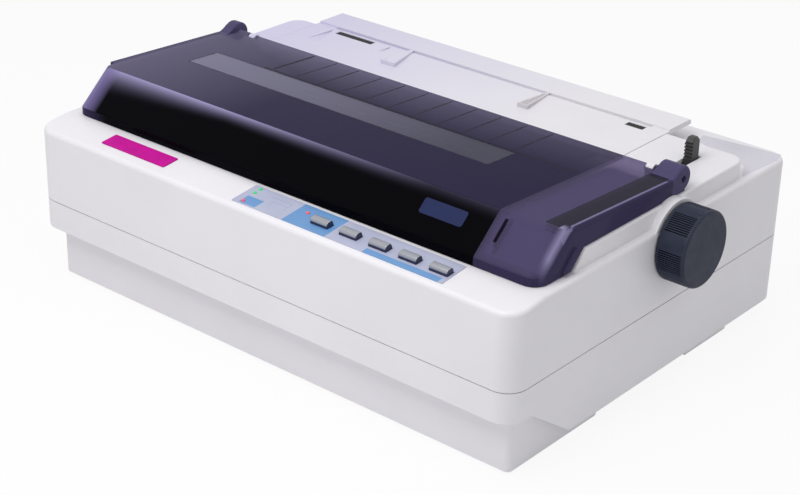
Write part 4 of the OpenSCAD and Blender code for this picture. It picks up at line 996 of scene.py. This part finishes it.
def make_stop(name, x, wide, node, finish, ribbed):
    """An edge stop: a low wedge that slides along the rail, with its clamp under the cover."""
    front, rear = 236, 272
    stop = wedge(name, [(x, front), (x + wide, front), (x + 3, rear), (x, rear)],
                 [DECK_Z + 0.1] * 4, [DECK_Z + rise for rise in (3.0, 3.0, 0.8, 0.8)])
    for i in range(ribbed):
        foot, head = x + 1.8 + 2.1 * i, x + 1.2 + 0.4 * i
        cut(stop, wedge("groove", [(foot, 237.4), (foot + 0.9, 237.4), (head + 0.2, 268), (head, 268)],
                        [DECK_Z + rise for rise in (2.2, 2.2, 0.6, 0.6)], [DECK_Z + 5] * 4))
    if not ribbed:
        cut(stop, rod("dimple", "Z", (DECK_Z + 2, DECK_Z + 5), (x + 3, 239), 1.2, 24))
    add(stop, block("neck", (x, x + 2), (RAIL_Y + 1.4, RAIL_Y + 1.9), (DECK_Z - 3, DECK_Z + 0.4)),
        block("clamp", (x - 4, x + 10), (RAIL_Y - 2, RAIL_Y + 4), (129.7, 131.2)))
    smooth(stop, 0.2, 2, 40)
    dress(stop, node, "guide_plastic", finish, node)


make_cover()
make_under_cover()
make_stop("left_stop", 122, 14, "left_edge_guide", cover_plastic, 0)
make_stop("right_stop", 252, 9, "right_edge_guide", grey_plastic, 3)


# ---------------- strip, plates and lever

def make_plate(name, x, y, thick, on, corner_r, steps):
    """A thin plate with round corners, on the strip or on the lid's slope."""
    plate = block(name, x, y, (0, thick), on)
    round_edges(plate, corner_r, steps, lambda edge: runs_along(edge, on.out))
    return plate


def make_plates():
    plate = make_plate("name_plate", (59, 122), (10, 24.5), 0.7, STRIP, 1.0, 4)
    smooth(plate, 0.2)
    dress(plate, "chassis", "plate_pink", glossy_plate("pink_plate", (196, 0, 148)), "front_plate")
    plate = make_plate("slope_plate", (320, 354.5), (14.6, 25.8), 0.5, SLOPE, 1.8, 4)
    smooth(plate, 0.15)
    dress(plate, "lid", "plate_blue", glossy_plate("blue_plate", (40, 48, 86)), "lid_plate")
    film = make_plate("panel_film", (192, 370.5), (5, 29), 0.5, STRIP, 0.8, 3)
    cut(film, *strip_holes(2))
    smooth(film, 0.12)
    dress(film, "chassis", "label", printed_film(), "panel_label")


def make_rear_label():
    """A bare film on the ledge behind the deck's right corner."""
    film = wedge("rear_label", [(365, 309), (367, 297), (415, 281), (424, 264), (427, 306), (424, 316)],
                 [LEDGE_Z - 0.05] * 6, [LEDGE_Z + 0.12] * 6)
    smooth(film)
    dress(film, "chassis", "label", moulded("label_film", (216, 213, 224), rough=0.5))


def glossy_plate(name, colour):
    """An enamelled plate under a clear coat."""
    made = Finish(name, Specular_IOR_Level=0.06)
    made.set(Base_Color=made.mottle(8, paint(*[c * 0.93 for c in colour]), paint(*colour)),
             Roughness=made.mottle(3, 0.3, 0.4),
             Normal=made.bump(made.noise(0.8), 0.004))
    return made.material


def printed_film():
    """The panel's film: lavender grey, with plain blue areas round the keys and thin lines by the lamps."""
    made = Finish("panel_print", rough=0.4)
    areas = either(made.patch((237, 274.5), ANY), made.patch((306, 367), (0, 9.8)),
                   made.patch((197.5, 212), (5.8, 15.3)))
    lines = either(made.patch((211, 230.5), (22.6, 23)), made.patch((217, 230.5), (18.2, 18.5)),
                   made.patch((230.1, 230.5), (14, 23)), made.patch((217, 217.3), (14, 18.5)))
    field = made.mottle(20, paint(170, 174, 199), paint(178, 182, 206))
    blue = made.mottle(20, paint(95, 142, 194), paint(103, 150, 202))
    shown = made.blend(areas, field, blue)
    made.set(Base_Color=made.blend(lines * 0.6, shown, paint(120, 120, 140)),
             Roughness=made.mottle(2, 0.34, 0.46),
             Normal=made.bump(made.noise(0.4), 0.003))
    return made.material


def make_release_lever():
    y, z = LEVER_PIVOT
    lever = block("release_lever_grip", LEVER_X, (236.9, 246.1), (128, 150))
    slice_off(lever, at(0, 244.1, 150), (0, 2, 2))
    slice_off(lever, at(0, 239.9, 150), (0, -2, 1.8))
    round_edges(lever, 1.2, 3, lambda edge: sharp(edge) and within(edge, z=(140, 200)))
    for i in range(5):
        cut(lever, block("grip_groove", (390, 400), (y, 238.1), (136 + 2.5 * i, 137.2 + 2.5 * i)))
    stem = block("stem", LEVER_X, (y - 4, y + 8), (z - 2, 131))
    slice_off(stem, at(0, y - 6, z + 2), (0, -41, 6))
    add(lever, stem, rod("eye", "X", LEVER_X, LEVER_PIVOT, 7, 40),
        rod("stub", "X", (350, LEVER_X[0] + 0.6), LEVER_PIVOT, 3, 32))
    smooth(lever, 0.25, 2, 45)
    dress(lever, "release_lever", "charcoal_plastic", charcoal, "release_lever")


make_plates()
make_rear_label()
make_release_lever()


# ---------------- finishes of the parts that keep their shape

keep_finish(zinc_sheet(), "chassis_plate", "left_frame", "right_frame", "gear_plate", "paper_pan")
keep_finish(steel("bright_steel", (205, 206, 210), 0.24, (0.02, 1, 1)), "platen_shaft", "guide_shaft",
            "tractor_shaft", "tractor_rod", "bail_frame")
# the hinge pins are made near black as painted shade, so that their holes read dark
keep_finish(steel("pin_shade_steel", (34, 32, 38), 0.4, (0.02, 1, 1)), "hinge_pins")
keep_finish(steel("screw_steel", (186, 186, 190), 0.34, (1, 1, 1)), "case_screws", "frame_screws")
keep_finish(steel("sintered_bronze", (150, 112, 70), 0.5, (1, 1, 1)), "platen_bushes")
keep_finish(steel("turned_brass", (196, 158, 84), 0.3, (1, 1, 0.1)), "motor_pinion", "drive_pulley")
keep_finish(steel("head_alloy", (120, 122, 128), 0.45, (1, 1, 1), 2.0), "print_head")
keep_finish(steel("motor_steel", (110, 112, 116), 0.38, (1, 0.05, 1)), "feed_motor", "carriage_motor")
keep_finish(steel("core_steel", (96, 96, 98), 0.5, (0.03, 0.03, 3), 0.8, 0.03), "transformer")
keep_finish(rubber("platen_rubber", (34, 34, 36)), "platen_roller")
keep_finish(rubber("soft_rubber", (40, 40, 42)), "bail_rollers", "rubber_feet", "timing_belt")
keep_finish(rubber("ribbon_cloth", (16, 16, 20), 0.3, 0.04), "ink_ribbon")
keep_finish(gear_plastic, "platen_gear", "idler_gear", "tractor_gear", "idler_pulley")
keep_finish(black_plastic, "carriage", "ribbon_cartridge", "left_tractor", "right_tractor", "gap_lever",
            "power_inlet", "power_switch")
keep_finish(charcoal, "left_tractor_door", "right_tractor_door")
keep_finish(circuit("green_board", (28, 84, 50), (46, 112, 66)), "main_board", "panel_board")
keep_finish(circuit("tan_board", (150, 116, 62), (176, 140, 80)), "power_board")


def lamp_finish():
    """Small lamps: two lit green, and two lit red."""
    made = Finish("lamp_glow", rough=0.2)
    x, y = made.plan
    warm = either(x > 230, y < 15)
    glow = made.blend(warm, paint(60, 200, 120), paint(230, 90, 100))
    made.set(Base_Color=glow, Emission_Color=glow, Emission_Strength=0.25,
             Roughness=made.mottle(1, 0.15, 0.25, detail=2))
    return made.material


keep_finish(lamp_finish(), "panel_lamps")


# ---------------- floor, light and camera

WHITE = (1, 1, 1, 1)
EYE, YAW, PITCH, ROLL, FOCAL = (992.9, -787.4, 635.5), 39.62, 26.08, 1.39, 84.43


def seen(nodes, own, white, share):
    """Mixes a plain white into what the camera and mirrors see, and leaves other light alone."""
    path = either(*[nodes.node("LightPath", out="Is %s Ray" % way)
                    for way in ("Camera", "Glossy", "Transmission")])
    return nodes.node("MixShader", None, (path * share, own, white))


def make_floor():
    free_hands()
    bpy.ops.mesh.primitive_plane_add(size=12, location=(0, 0, 0))
    floor = bpy.context.object
    floor.name = "floor"
    made = Finish("floor_paper", rough=0.9, Base_Color=(0.86, 0.86, 0.87, 1))
    white = made.node("Emission", None, {"Color": WHITE, "Strength": 1.0})
    made.show(seen(made, made.own_look, white, 0.9))
    floor.data.materials.append(made.material)


def make_world():
    world = bpy.data.worlds.new("studio")
    bpy.context.scene.world = world
    nodes = Nodes(world, "World")
    room = nodes.node("Background", None, {"Color": WHITE, "Strength": 0.58})
    white = nodes.node("Background", None, {"Color": WHITE, "Strength": 1.0})
    nodes.show(seen(nodes, room, white, 1.0))


def lamp(name, place, target, size, power):
    """A square lamp, its size in metres and its power in watts, turned to a target."""
    light = bpy.data.lights.new(name, "AREA")
    light.shape, light.size, light.energy = "SQUARE", size, power
    holder = bpy.data.objects.new(name, light)
    bpy.context.collection.objects.link(holder)
    holder.location = place
    holder.rotation_euler = (Vector(target) - Vector(place)).to_track_quat("-Z", "Y").to_euler()


def make_camera():
    yaw, pitch, roll = (math.radians(a) for a in (YAW, PITCH, ROLL))
    back = Vector((math.sin(yaw) * math.cos(pitch), -math.cos(yaw) * math.cos(pitch), math.sin(pitch)))
    right = Vector((math.cos(yaw), math.sin(yaw), 0))
    up = back.cross(right)
    side = right * math.cos(roll) + up * math.sin(roll)
    over = up * math.cos(roll) - right * math.sin(roll)
    lens = bpy.data.cameras.new("camera")
    lens.lens, lens.sensor_width, lens.clip_end = FOCAL, 36, 20
    camera = bpy.data.objects.new("camera", lens)
    bpy.context.collection.objects.link(camera)
    turn = Matrix((side, over, back)).transposed().to_4x4()
    camera.matrix_world = Matrix.Translation(at(*EYE)) @ turn
    bpy.context.scene.camera = camera


make_floor()
make_world()
lamp("key_light", (0, -0.5, 0.8), (0, -0.2, 0.1), 0.5, 3.3)
lamp("rear_light", (0, 0.1, 1), (0, 0.1, 0.12), 0.8, 1)
make_camera()
bpy.context.scene.view_settings.view_transform = "Standard"
